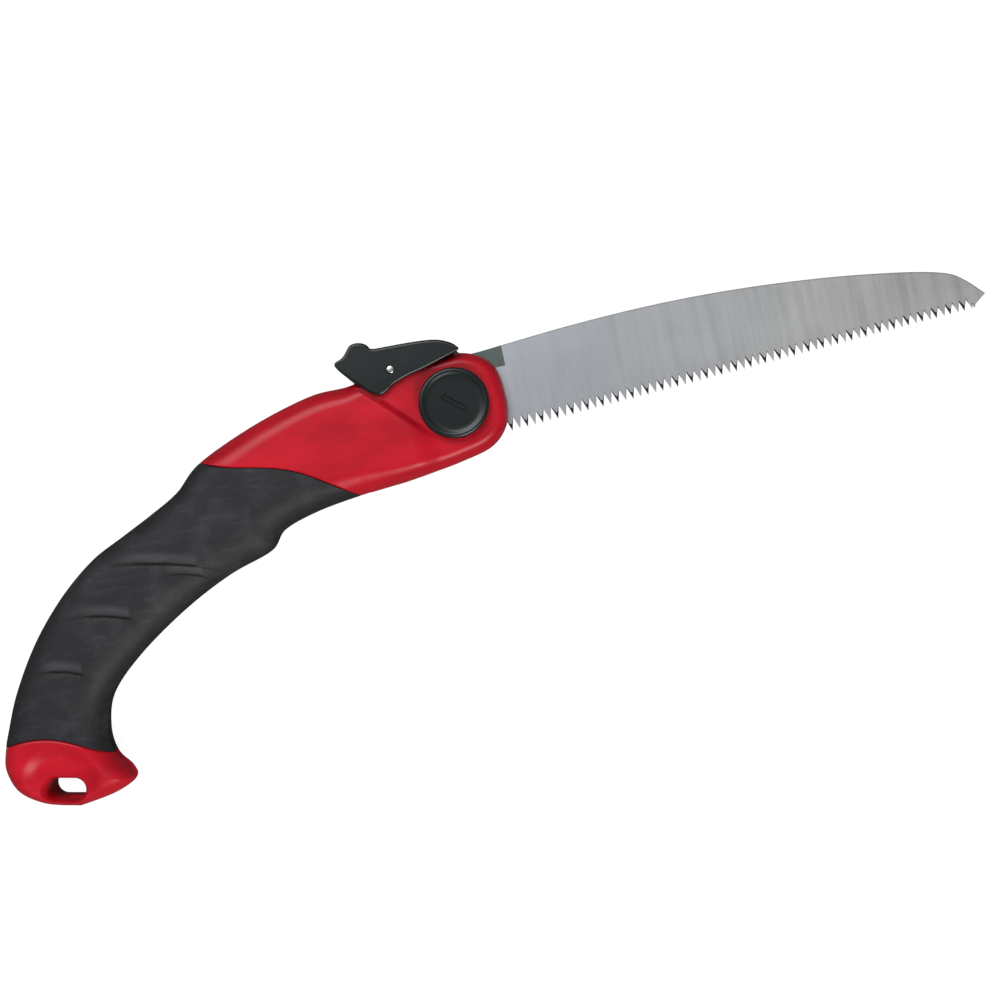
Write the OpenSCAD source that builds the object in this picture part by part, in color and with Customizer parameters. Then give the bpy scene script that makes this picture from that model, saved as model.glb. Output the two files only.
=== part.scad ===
// Folding pruning saw: a curved pistol handle in two shells with rubber grips, a blade that folds
// into it, a turning knob on the pivot bolt and a thumb latch on the back of the handle.
//
// Frame: the saw lies on its left side. The origin is on the pivot axis, on the flat outer face
// of the nut cover. +X runs from the pivot to the tip of the open blade, +Y towards the back of
// the blade, +Z out of the knob side. Millimetres.

/* [Handle] */
// Thickness over the two grips
handle_t = 26; // [25:0.25:27]
// Thickness of the boss round the pivot
boss_t = 20; // [19.5:0.25:20.5]
// Width of the slot that the blade folds into
slot_w = 3; // [2.9:0.1:3.2]
// Thickness of the rubber grips
rubber_t = 2.4; // [2:0.1:2.8]
// Depth of the dish round the lanyard slot
dish_depth = 2.2; // [1:0.1:3]
// Length of the lanyard slot
lanyard_l = 16.4; // [15:0.2:17]
// Width of the lanyard slot
lanyard_w = 9; // [8:0.2:9.4]

/* [Blade] */
// Distance from the pivot to the tip
blade_reach = 222; // [216:1:223]
// Thickness of the blade steel
blade_t = 1.4; // [1.2:0.1:1.5]
// Depth ground off each face beyond the root
grind_depth = 0.1; // [0.05:0.01:0.2]
// Number of teeth
tooth_count = 64; // [56:1:70]
// Height of the teeth at the root
root_tooth_h = 5.4; // [4.5:0.1:6]
// Height of the teeth at the tip
tip_tooth_h = 4.6; // [3.5:0.1:5]
// Angle that the blade turns through to fold
fold_angle = 153; // [151.5:0.5:153.5]

/* [Pivot] */
// Diameter of the pivot bolt
bolt_d = 8; // [7:0.5:8]
// Diameter of the knob
knob_d = 28.4; // [28:0.2:30]
// Height of the knob above the boss
knob_h = 4.5; // [4.2:0.1:5]
// Diameter of the nut across its flats
nut_flats = 13; // [12.5:0.5:14]

/* [Latch] */
// Diameter of the latch pin
latch_pin_d = 3.5; // [3:0.1:3.8]
// Thickness of the pawl
pawl_t = 2.6; // [2:0.1:2.6]

/* [Fasteners] */
// Diameter of the shell screws
screw_d = 3; // [2.5:0.1:3.2]
// Diameter of the screw heads
screw_head_d = 5.6; // [5:0.1:6]

/* [Hidden] */

// Height of the middle plane, where the two shells meet
mid_z = handle_t / 2;
boss_h = boss_t / 2;
slot_h = slot_w / 2;
// Gap that separates pieces of one body
fit_gap = 0.1;
// Radial clearance of what turns
running = 0.05;

// ---------------------------------------------------------------- handle outline
// Opposite points on the back and the belly of the handle, from the front of the boss to the butt
back_edge = [
  [21.2, -3], [19.3, 11.5], [9, 19.7], [-8, 20.8], [-23, 22.8], [-39, 16.6], [-57, 15.6],
  [-82, 8.8], [-106.8, -1.7], [-118.5, -11.6], [-131, -18.4], [-144, -24.6], [-158, -31.5],
  [-173, -43.4], [-187.3, -59.3], [-199, -77.7], [-205.5, -92.4], [-208, -99.5],
  [-209.4, -108], [-205.8, -118], [-196, -125], [-182.5, -128.6]
];
belly_edge = [
  [21.2, -3], [19, -12.5], [11.5, -19.8], [-2, -23.3], [-15.4, -25.4], [-26, -26.8],
  [-33.5, -27.4], [-39.5, -27.9], [-45, -28.3], [-63.5, -31], [-78.5, -35.6], [-86, -43],
  [-104.7, -49.1], [-126, -59.5], [-147, -73.3], [-161, -86.5], [-165.6, -99.5],
  [-164.9, -110], [-160.2, -117.2], [-159.8, -122.6], [-168.5, -126.4], [-182.5, -128.6]
];
// Stations where the rubber starts and where it ends
grip_front = 8;
grip_rear = 17;
first_station = 0.3;
last_station = len(back_edge) - 1.3;
station_step = 1 / 3;
// Half width of the wall between the bare plastic and the rubber, in stations
wall_half = 0.03;
// Gap between that wall and the end of the rubber, in stations
rubber_gap = 0.03;
// How far the front and the rear edge of the rubber bow towards the boss
front_bow = 3.9;
rear_bow = 5.9;
cross_steps = 14;

// Half thickness and edge rounding along the stations
half_thickness = [[0, mid_z], [9, mid_z], [12, mid_z], [15, mid_z - 0.4], [18, mid_z - 0.6], [21, mid_z - 2]];
edge_round = [[0, 4.5], [4, 6], [6, 9], [8, 11], [10, 15], [15, 15], [17, 11], [19, 8], [21, 6]];
dome_power = 2.2;

// ---------------------------------------------------------------- blade
tooth_start = [19, -15.3];
tooth_end = [blade_reach - 5.3, -5.2];
// Points of the blade's back, from the pivot boss to the tip
spine = [
  [14.6, 19.3], [52.9, 22.2], [90, 23.4], [125, 22.5], [160, 19.6], [190, 15.4],
  [blade_reach - 15, 11.6], [blade_reach - 7.5, 7.4], [blade_reach, 0]
];
tooth_lean = 0.12;
pitch_taper = 0.1;
// Place of the line where the grinding starts
grind_x = 23.5;
grind_step = 4.7;
grind_step_y = 11.6;

tang_r = 18.5;
notch_x = 1;
notch_w = 4.6;
notch_r = 16.2;
ledge_y = 19;
stop_r = 12;
stop_angle = -100;
stop_pin_r = 2;
bush_r = 6.5;

// ---------------------------------------------------------------- latch
latch_at = [-22.2, 18.4];
// Outline of the lever's cheeks, from the tail round the thumb pad to the nose and back
latch_outline = [
  [-43.8, 24.8], [-40.6, 26.7], [-38.9, 28.2], [-36.6, 30.9], [-34.2, 31.6], [-31.6, 31.2],
  [-29.5, 29.9], [-28, 28.1], [-22.6, 27.8], [-14.7, 27.6], [-6.4, 27.1], [-0.8, 26.1],
  [3.4, 24.2], [5.5, 22.3], [5.1, 20.3], [-8.8, 16.1], [-15.4, 14.6], [-21.7, 12.5],
  [-24.6, 10.6], [-27.8, 9.2], [-31.3, 10.4], [-34.5, 13.2], [-41.4, 20.5]
];
cheek_t = 2.6;
cheek_outer = mid_z - 0.2;
cheek_inner = cheek_outer - cheek_t;
bridge_y = 24;
// Line of the step between the boss and the thicker body: x + y of its points
crease_sum = -19.7;
crease_run = 4.5;
pawl_tip_y = 18.95;
pawl_r = 4.8;

// ---------------------------------------------------------------- spring under the thumb pad
spring_x = -36;
spring_low = 8;
spring_r = 2.4;
spring_wire = 0.45;
spring_turns = 6;
spring_sides = 6;
spring_steps = 14;

// ---------------------------------------------------------------- lanyard slot and screws
lanyard_at = [-185.8, -120];
lanyard_turn = -12;
dish_at = [-185.5, -114];
dish_size = [17, 12];
screw_places = [[-51, 5.5], [-89.5, -1], [-150, -37], [-194, -80], [-201.2, -112]];
screw_seat = 5;
screw_pilot_d = screw_d - 0.4;
screw_bore_d = screw_d + 2 * fit_gap;
screw_well_d = screw_head_d + 0.6;
screw_head_h = 2.4;
screw_key = 2.6;
screw_tip = 5.4;
liner_t = 1.5;
liner_r = 16;
liner_ear_r = 4;
stop_at = stop_r * [cos(stop_angle), sin(stop_angle)];

$fn = 64;

// ================================================================ curves
// A point on the smooth curve through a list of points
function curve(list, u) =
  let (i = min(floor(u), len(list) - 2), f = u - i)
  let (a = list[max(i - 1, 0)], b = list[i], c = list[i + 1], d = list[min(i + 2, len(list) - 1)])
  0.5 * (2 * b + (c - a) * f + (2 * a - 5 * b + 4 * c - d) * f * f + (3 * b - a - 3 * c + d) * f * f * f);

function smooth(x) = let (t = max(0, min(1, x))) t * t * (3 - 2 * t);

// Distance from a point to a segment, and to a closed outline
function gap_to(p, a, b) =
  let (run = b - a, f = max(0, min(1, (p - a) * run / (run * run))))
  norm(p - a - f * run);
function edge_gap(p, outline) =
  min([for (i = [0 : len(outline) - 1]) gap_to(p, outline[i], outline[(i + 1) % len(outline)])]);

function turned(p, angle) = [p.x * cos(angle) - p.y * sin(angle), p.x * sin(angle) + p.y * cos(angle)];
function folded(p) = turned(p, -fold_angle);

// ================================================================ handle surface
// A point across the handle: s runs from 0 at the back to 1 at the belly
function across(u, s) =
  let (from = curve(back_edge, u), to = curve(belly_edge, u), run = to - from)
  let (side = [-run.y, run.x] / max(norm(run), 0.01))
  let (front = max(0, 1 - abs(u - grip_front) / 3), rear = max(0, 1 - abs(u - grip_rear) / 2))
  from + s * run
    + side * front * front_bow * (pow(sin(180 * s), 2) - 0.25 * sin(360 * s))
    + side * rear * rear_bow * sin(180 * pow(s, 0.85));

// The same, with both edges set in
function station_point(u, inset, s) =
  let (width = norm(curve(belly_edge, u) - curve(back_edge, u)))
  let (share = min(0.45, inset / width))
  across(u, share + s * (1 - 2 * share));

// Steps across the handle, closer together at its edges
function cross_share(j) = (1 - cos(180 * j / cross_steps)) / 2;

// Rise from the boss to the thicker body behind the crease
function body_share(p) =
  smooth((crease_sum - p.x - p.y) / sqrt(2) / crease_run) * smooth((-8 - p.x) / 12);
function half_height(u, p) = boss_h + (lookup(u, half_thickness) - boss_h) * body_share(p);
function dish(p) =
  let (d = turned(p - dish_at, -lanyard_turn), r = norm([d.x / dish_size.x, d.y / dish_size.y]))
  dish_depth * (1 - smooth(r));

function dome(e, h, r) = e <= 0 ? 0 : h * pow(1 - pow(1 - min(1, e / r), dome_power), 1 / dome_power);

function stations(from, to) =
  let (next = ceil((from + 0.1) / station_step) * station_step)
  concat([from], [for (u = [next : station_step : to - 0.1]) u], [to]);

// Closed outline of the whole handle, set in by the same amount all round
function outline_in(inset) =
  let (all = stations(first_station, last_station))
  concat(
    [for (u = all) station_point(u, inset, 0)],
    [for (i = [len(all) - 1 : -1 : 0]) station_point(all[i], inset, 1)]
  );

// Rows of points over one half of the handle, each row given as [station, inset]
function sheet(rows) =
  let (bare = outline_in(0), core = outline_in(max([for (row = rows) row[1]])))
  [
    for (row = rows)
      let (outline = row[1] > 0 ? core : bare)
      [
        for (j = [0 : cross_steps])
          let (p = station_point(row[0], row[1], cross_share(j)))
          let (e = (j == 0 || j == cross_steps) ? 0 : edge_gap(p, outline))
          let (h = half_height(row[0], p) - row[1], r = lookup(row[0], edge_round) - row[1] / 2)
          [p.x, p.y, e <= 0 ? 0 : max(0.3, dome(e, h, r) - (row[1] > 0 ? 0 : dish(p)))]
      ]
  ];

core_inset = rubber_t + fit_gap;
shell_rows = concat(
  [for (u = stations(first_station, grip_front - wall_half)) [u, 0]],
  [for (u = stations(grip_front + wall_half, grip_rear - wall_half)) [u, core_inset]],
  [for (u = stations(grip_rear + wall_half, last_station)) [u, 0]]
);
grip_stations = stations(grip_front + wall_half + rubber_gap, grip_rear - wall_half - rubber_gap);

// A closed body between a sheet and the middle plane
module pillow(rows) {
  grid = sheet(rows);
  n = len(grid);
  m = cross_steps + 1;
  points = [for (row = grid) each row];
  faces = concat(
    [for (i = [0 : n - 2], j = [0 : cross_steps - 1])
      [i * m + j, i * m + j + 1, (i + 1) * m + j + 1, (i + 1) * m + j]],
    [for (i = [0 : n - 2]) [i * m, (i + 1) * m, (i + 1) * m + cross_steps, i * m + cross_steps]],
    [for (j = [1 : cross_steps - 1]) [0, j + 1, j]],
    [for (j = [1 : cross_steps - 1]) let (a = (n - 1) * m) [a, a + j, a + j + 1]]
  );
  polyhedron(points, faces, convexity = 6);
}

// A closed skin between two sheets that share their stations
module skin(outer_rows, inner_rows) {
  outer = sheet(outer_rows);
  inner = sheet(inner_rows);
  n = len(outer);
  m = cross_steps + 1;
  k = n * m;
  points = concat([for (row = outer) each row], [for (row = inner) each row]);
  faces = concat(
    [for (i = [0 : n - 2], j = [0 : cross_steps - 1])
      [i * m + j, i * m + j + 1, (i + 1) * m + j + 1, (i + 1) * m + j]],
    [for (i = [0 : n - 2], j = [0 : cross_steps - 1])
      [k + i * m + j, k + (i + 1) * m + j, k + (i + 1) * m + j + 1, k + i * m + j + 1]],
    [for (i = [0 : n - 2]) [i * m, (i + 1) * m, k + (i + 1) * m, k + i * m]],
    [for (i = [0 : n - 2]) let (a = i * m + cross_steps) [a, k + a, k + a + m, a + m]],
    [for (j = [0 : cross_steps - 1]) [j, k + j, k + j + 1, j + 1]],
    [for (j = [0 : cross_steps - 1]) let (a = (n - 1) * m + j) [a, a + 1, k + a + 1, k + a]]
  );
  polyhedron(points, faces, convexity = 6);
}

// ================================================================ cuts in the handle
// Everything that the blade sweeps, and the gap in front of the latch pin
module slot_2d() {
  clear = 2.5;
  end_x = blade_reach + clear;
  polygon([
    [-28, 40], [-28, folded(tooth_start).y + 1], folded(tooth_end - [0, clear]),
    folded([end_x, tooth_end.y]), folded([end_x, 60]), [60, -150], [60, 40]
  ]);
}

module stadium(length, width) {
  for (side = [-1, 1]) translate([side * (length - width) / 2, 0]) circle(d = width);
  square([length - width, width], center = true);
}

module lanyard_cut() {
  translate([lanyard_at.x, lanyard_at.y, -1]) rotate(lanyard_turn)
    linear_extrude(mid_z + 2) stadium(lanyard_l, lanyard_w);
}

// Hollow inside each shell, clear of its edges
cavity_inset = 9.5;
cavity_h = 6.8;
cavity_stations = [for (u = [6.6 : 0.6 : 16.2]) u];
module cavity() {
  difference() {
    translate([0, 0, -1]) linear_extrude(cavity_h + 1) polygon(concat(
      [for (u = cavity_stations) station_point(u, cavity_inset, 0)],
      [for (i = [len(cavity_stations) - 1 : -1 : 0]) station_point(cavity_stations[i], cavity_inset, 1)]
    ));
    for (at = screw_places) translate([at.x, at.y, -2]) cylinder(r = screw_head_d / 2 + 2, h = mid_z);
  }
}

// Body shared by the steel liners and their pockets
module liner_plate(thickness, grow) {
  cylinder(r = liner_r + grow, h = thickness);
  translate([latch_at.x, latch_at.y, 0]) cylinder(r = liner_ear_r + grow, h = thickness);
  linear_extrude(thickness) polygon([[-14, 2], latch_at + [-3, -2], latch_at + [1, 3], [2, 14]]);
}

// Room for the cheeks of the latch, which swing beside the boss
recess_outline = [
  [-45.5, 30], [-45.5, 21.5], [-40.5, 15.8], [-33.5, 9.6], [-29.5, 6.6], [-24, 7.8],
  [-14, 12.3], [8, 18], [10, 30]
];
cheek_gap = 0.15;
module latch_recess() {
  translate([0, 0, cheek_inner - cheek_gap]) linear_extrude(mid_z) polygon(recess_outline);
}

knob_gap = 1;
stop_socket = 6;
spring_gap = 0.6;
spring_room = 20;

module shell_half() {
  difference() {
    pillow(shell_rows);
    translate([0, 0, -1]) linear_extrude(slot_h + 1) slot_2d();
    cavity();
    translate([0, 0, -1]) liner_plate(slot_h + liner_t + fit_gap + 1, fit_gap);
    translate([0, 0, -1]) cylinder(d = bolt_d + 2 * running, h = mid_z + 2);
    translate([0, 0, boss_h]) cylinder(d = knob_d + 2 * knob_gap, h = mid_z);
    translate([stop_at.x, stop_at.y, -1]) cylinder(r = stop_pin_r + fit_gap, h = stop_socket);
    translate([latch_at.x, latch_at.y, -1]) cylinder(d = latch_pin_d + 2 * running, h = mid_z + 2);
    latch_recess();
    lanyard_cut();
    translate([spring_x, spring_low, 0]) rotate([-90, 0, 0])
      cylinder(r = spring_r + spring_gap, h = spring_room);
  }
}

// ================================================================ handle pieces
nut_h = 4.8;
nut_cap = 0.2;
nut_room = boss_h - nut_cap - nut_h - 0.2;

module right_shell() {
  color([0.78, 0.1, 0.15]) translate([0, 0, mid_z]) difference() {
    shell_half();
    for (at = screw_places) translate([at.x, at.y, -1]) cylinder(d = screw_pilot_d, h = screw_tip + 2.1);
  }
}

module left_shell() {
  color([0.78, 0.1, 0.15]) translate([0, 0, mid_z]) mirror([0, 0, 1]) difference() {
    shell_half();
    for (at = screw_places) {
      translate([at.x, at.y, -1]) cylinder(d = screw_bore_d, h = mid_z);
      translate([at.x, at.y, screw_seat]) cylinder(d = screw_well_d, h = mid_z);
    }
    translate([0, 0, nut_room]) cylinder(d = (nut_flats + 2 * fit_gap) / cos(30), h = mid_z, $fn = 6);
  }
}

module grip_half() {
  difference() {
    skin([for (u = grip_stations) [u, 0]], [for (u = grip_stations) [u, rubber_t]]);
    translate([0, 0, -1]) linear_extrude(slot_h + 1) slot_2d();
  }
}

module right_grip() {
  color([0.17, 0.17, 0.18]) translate([0, 0, mid_z]) grip_half();
}

module left_grip() {
  color([0.17, 0.17, 0.18]) translate([0, 0, mid_z]) mirror([0, 0, 1]) difference() {
    grip_half();
    for (at = screw_places) translate([at.x, at.y, 0]) cylinder(d = screw_well_d, h = mid_z + 1);
  }
}

module liner() {
  difference() {
    liner_plate(liner_t, 0);
    translate([0, 0, -1]) cylinder(d = bolt_d + 2 * running, h = liner_t + 2);
    translate([stop_at.x, stop_at.y, -1]) cylinder(r = stop_pin_r + 0.02, h = liner_t + 2);
    translate([latch_at.x, latch_at.y, -1]) cylinder(d = latch_pin_d + 0.04, h = liner_t + 2);
  }
}

module right_liner() {
  color([0.6, 0.61, 0.62]) translate([0, 0, mid_z + slot_h]) liner();
}

module left_liner() {
  color([0.6, 0.61, 0.62]) translate([0, 0, mid_z - slot_h]) mirror([0, 0, 1]) liner();
}

module shell_screws() {
  low = screw_seat + screw_head_h;
  color([0.35, 0.36, 0.37]) for (at = screw_places) translate([at.x, at.y, mid_z]) {
    translate([0, 0, -screw_seat - 1]) cylinder(d = screw_pilot_d - 0.1, h = screw_seat + 1 + screw_tip);
    translate([0, 0, -low]) difference() {
      cylinder(d = screw_head_d, h = screw_head_h);
      translate([0, 0, -1]) cylinder(d = screw_key, h = screw_head_h - 0.2, $fn = 6);
    }
  }
}

// ================================================================ blade
spine_steps = 4;
spine_points = [for (u = [0 : 1 / spine_steps : len(spine) - 1]) curve(spine, u)];

function tooth_share(i) = let (x = i / tooth_count) x * (1 + pitch_taper / 2 * (1 - x));
function tooth_line(x) = tooth_start + x * (tooth_end - tooth_start);
function tooth_h(x) = root_tooth_h + x * (tip_tooth_h - root_tooth_h);
tooth_points = [
  for (i = [0 : tooth_count - 1])
    let (a = tooth_share(i), b = tooth_share(i + 1), c = a + (b - a) * (0.5 + tooth_lean))
    each [tooth_line(a) + [0, tooth_h(a)], tooth_line(c)]
];

// Gap in the rim of the tang that takes the pawl
module notch_2d() {
  translate([notch_x - 0.2, notch_r]) square([notch_w, tang_r]);
}

// Room for the stop pin over the whole turn of the blade
module stop_slot_2d() {
  spare = 0.25;
  half = stop_pin_r + spare;
  end = asin(half / stop_r);
  step = (fold_angle + 2 * end) / 3;
  intersection() {
    difference() {
      circle(r = stop_r + half);
      circle(r = stop_r - half);
    }
    polygon(concat(
      [[0, 0]],
      [for (i = [0 : 3]) let (angle = stop_angle - end + i * step) 40 * [cos(angle), sin(angle)]]
    ));
  }
}

// Full thickness of the blade and its tang, before grinding
module blade_blank() {
  end = tooth_line(1);
  linear_extrude(blade_t) polygon(concat(
    [[0, 0], [notch_x + notch_w - 0.2, notch_r - 3], [notch_x + notch_w - 0.2, ledge_y]],
    spine_points, [end + [0, tip_tooth_h * 0.1]],
    [for (i = [len(tooth_points) - 1 : -1 : 0]) tooth_points[i]], [[12, -8]]
  ));
  cylinder(r = tang_r, h = blade_t);
}

// The part of each face that is ground thinner, beyond the root
module ground_face() {
  reach = 2 * blade_reach;
  linear_extrude(1) polygon([
    [grind_x - grind_step, -60], [grind_x - grind_step, grind_step_y],
    [grind_x, grind_step_y], [grind_x + 1, 60], [reach, 60], [reach, -60]
  ]);
}

module blade() {
  face = blade_t / 2;
  color([0.72, 0.73, 0.74]) translate([0, 0, mid_z]) difference() {
    translate([0, 0, -face]) blade_blank();
    for (side = [0, 1]) mirror([0, 0, side]) translate([0, 0, face - grind_depth]) ground_face();
    translate([0, 0, -blade_t]) {
      cylinder(r = bush_r, h = 2 * blade_t);
      linear_extrude(2 * blade_t) stop_slot_2d();
      linear_extrude(2 * blade_t) notch_2d();
      linear_extrude(2 * blade_t) rotate(fold_angle) notch_2d();
    }
  }
}

module pivot_bush() {
  length = slot_w - 0.08;
  color([0.76, 0.62, 0.3]) translate([0, 0, mid_z - length / 2]) difference() {
    cylinder(r = bush_r - 0.01, h = length);
    translate([0, 0, -1]) cylinder(d = bolt_d + 2 * running, h = length + 2);
  }
}

// ================================================================ pivot
module thrust_washer() {
  length = (slot_w - blade_t) / 2 - 0.04;
  translate([0, 0, blade_t / 2 + 0.02]) difference() {
    cylinder(r = stop_r - stop_pin_r - 0.6, h = length);
    translate([0, 0, -1]) cylinder(r = bush_r + running, h = length + 2);
  }
}

module right_thrust_washer() {
  color([0.9, 0.89, 0.85]) translate([0, 0, mid_z]) thrust_washer();
}

module left_thrust_washer() {
  color([0.9, 0.89, 0.85]) translate([0, 0, mid_z]) mirror([0, 0, 1]) thrust_washer();
}

head_r = 8;
head_h = 2;
boss_top = mid_z + boss_h;
knob_under = 0.3;
// Height of the bolt's head above the boss, where the spring washer fits under it
head_low = 0.9;
washer_r = 9;
washer_t = 0.45;
coin_l = 11;
coin_w = 1.7;
coin_depth = 1.3;
coin_turn = -40;

module pivot_bolt() {
  low = mid_z - boss_h + 0.6;
  color([0.62, 0.63, 0.64]) {
    translate([0, 0, low]) cylinder(d = bolt_d, h = boss_top + head_low + 1 - low);
    translate([0, 0, boss_top + head_low]) cylinder(r = head_r, h = head_h);
  }
}

module tension_knob() {
  r = knob_d / 2;
  color([0.1, 0.1, 0.11]) translate([0, 0, boss_top]) difference() {
    rotate_extrude($fn = 96) polygon([
      [0, knob_under], [r - 0.8, knob_under], [r, knob_under + 0.8], [r, knob_h - 1.3],
      [r - 0.4, knob_h - 0.4], [r - 1.3, knob_h], [r - 2.2, knob_h - 0.15],
      [r - 3, knob_h - 0.6], [0, knob_h - 0.6]
    ]);
    translate([0, 0, head_low]) cylinder(r = head_r + 0.02, h = head_h + 0.02);
    translate([0, 0, -1]) cylinder(r = washer_r + 0.8, h = head_low + 1.01);
    translate([0, 0, knob_h]) rotate(coin_turn) cube([coin_l, coin_w, 2 * coin_depth], center = true);
  }
}

module spring_washer() {
  low = boss_top + 0.02;
  color([0.55, 0.56, 0.57]) translate([0, 0, low]) rotate_extrude()
    polygon([
      [bolt_d / 2 + 0.4, 0.35], [washer_r, 0], [washer_r, washer_t], [bolt_d / 2 + 0.4, 0.35 + washer_t]
    ]);
}

module pivot_nut() {
  color([0.58, 0.59, 0.6]) translate([0, 0, mid_z - boss_h + nut_cap]) difference() {
    cylinder(d = nut_flats / cos(30), h = nut_h, $fn = 6);
    translate([0, 0, -1]) cylinder(d = bolt_d + 2 * running, h = nut_h + 2);
  }
}

module nut_cover() {
  r = knob_d / 2;
  h = mid_z - boss_h;
  color([0.1, 0.1, 0.11]) rotate_extrude($fn = 96)
    polygon([[0, 0], [r - 1.6, 0], [r - 0.5, 0.5], [r, 1.6], [r, h - 0.05], [0, h - 0.05]]);
}

module stop_pin() {
  length = slot_w + 2 * liner_t + 3;
  color([0.6, 0.61, 0.62]) translate([stop_at.x, stop_at.y, mid_z - length / 2])
    cylinder(r = stop_pin_r, h = length);
}

// ================================================================ latch
module bridge_2d() {
  intersection() {
    polygon(latch_outline);
    polygon([
      [-46, bridge_y - 1.2], [-30, bridge_y], [-10, bridge_y], [4.5, bridge_y - 1.4],
      [10, bridge_y - 2], [10, 40], [-46, 40]
    ]);
  }
}

module latch_lever() {
  color([0.08, 0.08, 0.09]) translate([0, 0, mid_z]) difference() {
    union() {
      for (side = [0, 1]) mirror([0, 0, side])
        translate([0, 0, cheek_inner]) linear_extrude(cheek_t) polygon(latch_outline);
      translate([0, 0, -cheek_outer]) linear_extrude(2 * cheek_outer) bridge_2d();
    }
    translate([latch_at.x, latch_at.y, -mid_z - 1]) cylinder(d = latch_pin_d + 2 * running, h = handle_t + 2);
  }
}

module latch_pawl() {
  left = notch_x;
  right = notch_x + notch_w - 0.6;
  color([0.6, 0.61, 0.62]) translate([0, 0, mid_z - pawl_t / 2]) linear_extrude(pawl_t) difference() {
    union() {
      translate(latch_at) circle(r = pawl_r);
      polygon([
        [latch_at.x, latch_at.y - pawl_r + 0.1], [-8, 20.2], [left, 21], [left, pawl_tip_y],
        [right, pawl_tip_y], [right + 0.1, 22.3], [-10, bridge_y - 0.1], [latch_at.x - 1, bridge_y - 0.1],
        [latch_at.x - 1, latch_at.y]
      ]);
    }
    translate(latch_at) circle(d = latch_pin_d + 2 * running);
  }
}

module latch_pin() {
  length = 2 * cheek_outer - 0.4;
  color([0.8, 0.8, 0.8]) translate([latch_at.x, latch_at.y, mid_z - length / 2])
    cylinder(d = latch_pin_d, h = length);
}

// Wire wound round the Y axis, closed by a flat cap at each end
module latch_spring() {
  low = spring_low + spring_wire + 0.1;
  rise = bridge_y - 0.9 - spring_wire - 0.1 - low;
  steps = spring_turns * spring_steps;
  rings = [
    for (i = [0 : steps])
      let (turn = 360 * i / spring_steps, out = [cos(turn), 0, sin(turn)])
      let (mid = spring_r * out + [0, low + rise * i / steps, 0])
      [
        for (k = [0 : spring_sides - 1])
          let (angle = 360 * k / spring_sides)
          mid + spring_wire * (cos(angle) * out + [0, sin(angle), 0])
      ]
  ];
  faces = concat(
    [for (i = [0 : steps - 1], k = [0 : spring_sides - 1])
      let (a = i * spring_sides + k, b = i * spring_sides + (k + 1) % spring_sides)
      [a, a + spring_sides, b + spring_sides, b]],
    [[for (k = [0 : spring_sides - 1]) k]],
    [[for (k = [spring_sides - 1 : -1 : 0]) steps * spring_sides + k]]
  );
  color([0.7, 0.71, 0.72]) translate([spring_x, 0, mid_z]) polyhedron([for (ring = rings) each ring], faces);
}

right_shell();
left_shell();
right_grip();
left_grip();
right_liner();
left_liner();
blade();
pivot_bush();
right_thrust_washer();
left_thrust_washer();
pivot_bolt();
tension_knob();
spring_washer();
pivot_nut();
nut_cover();
stop_pin();
latch_lever();
latch_pawl();
latch_pin();
latch_spring();
shell_screws();
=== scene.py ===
"""Looks of a folding pruning saw, built round its CAD frame.

The saw lies on its left side. X runs from the pivot to the tip of the open blade, Y towards the
back of the blade and Z out of the knob side. Shapes are worked out in millimetres and kept in
metres.
"""

import logging
import math
from collections.abc import Iterable, Sequence
from dataclasses import dataclass, field
from enum import Enum
from typing import Any, Union

import bmesh
import bpy
import numpy as np
from mathutils import Matrix, Vector


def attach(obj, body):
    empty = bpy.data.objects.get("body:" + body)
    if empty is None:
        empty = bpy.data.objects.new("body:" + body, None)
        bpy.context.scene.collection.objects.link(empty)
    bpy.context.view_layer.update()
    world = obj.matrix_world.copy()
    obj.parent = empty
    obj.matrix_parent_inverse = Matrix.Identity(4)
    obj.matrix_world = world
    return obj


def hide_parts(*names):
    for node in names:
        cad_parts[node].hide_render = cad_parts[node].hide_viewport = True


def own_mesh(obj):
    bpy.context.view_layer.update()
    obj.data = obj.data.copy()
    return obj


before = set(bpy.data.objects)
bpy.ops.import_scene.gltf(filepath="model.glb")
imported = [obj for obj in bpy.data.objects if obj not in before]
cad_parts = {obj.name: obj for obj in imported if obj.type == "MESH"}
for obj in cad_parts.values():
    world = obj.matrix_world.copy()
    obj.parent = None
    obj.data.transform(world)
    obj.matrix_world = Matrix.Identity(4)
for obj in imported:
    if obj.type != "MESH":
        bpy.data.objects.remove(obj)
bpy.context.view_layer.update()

LOG = logging.getLogger("pruning_saw")
MM = 0.001
MID_Z = 13.0
FOLD_BOW = 1.2
FOLDS = (
    ((-151, -35.5), (-114, -43)),
    ((-130, -44), (-113, -47.6)),
    ((-170, -53), (-145, -58)),
    ((-188, -72), (-168.5, -76)),
)
Array = np.ndarray
Point = tuple[float, float]
Number = Union[float, "Shade"]


class Side(Enum):
    """Half of the handle, as the sign of its height over the middle plane."""

    RIGHT = 1
    LEFT = -1


class Body(Enum):
    """Moving bodies of the saw."""

    HANDLE = "handle"
    BLADE = "blade"
    LATCH = "latch"
    KNOB = "knob"


class Slot(Enum):
    """Material slots of the record."""

    RED = "red_plastic"
    RUBBER = "black_rubber"
    BLACK = "black_plastic"
    SAW_STEEL = "saw_steel"
    ZINC = "zinc_steel"
    BRONZE = "bearing_bronze"
    ACETAL = "white_acetal"


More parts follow.
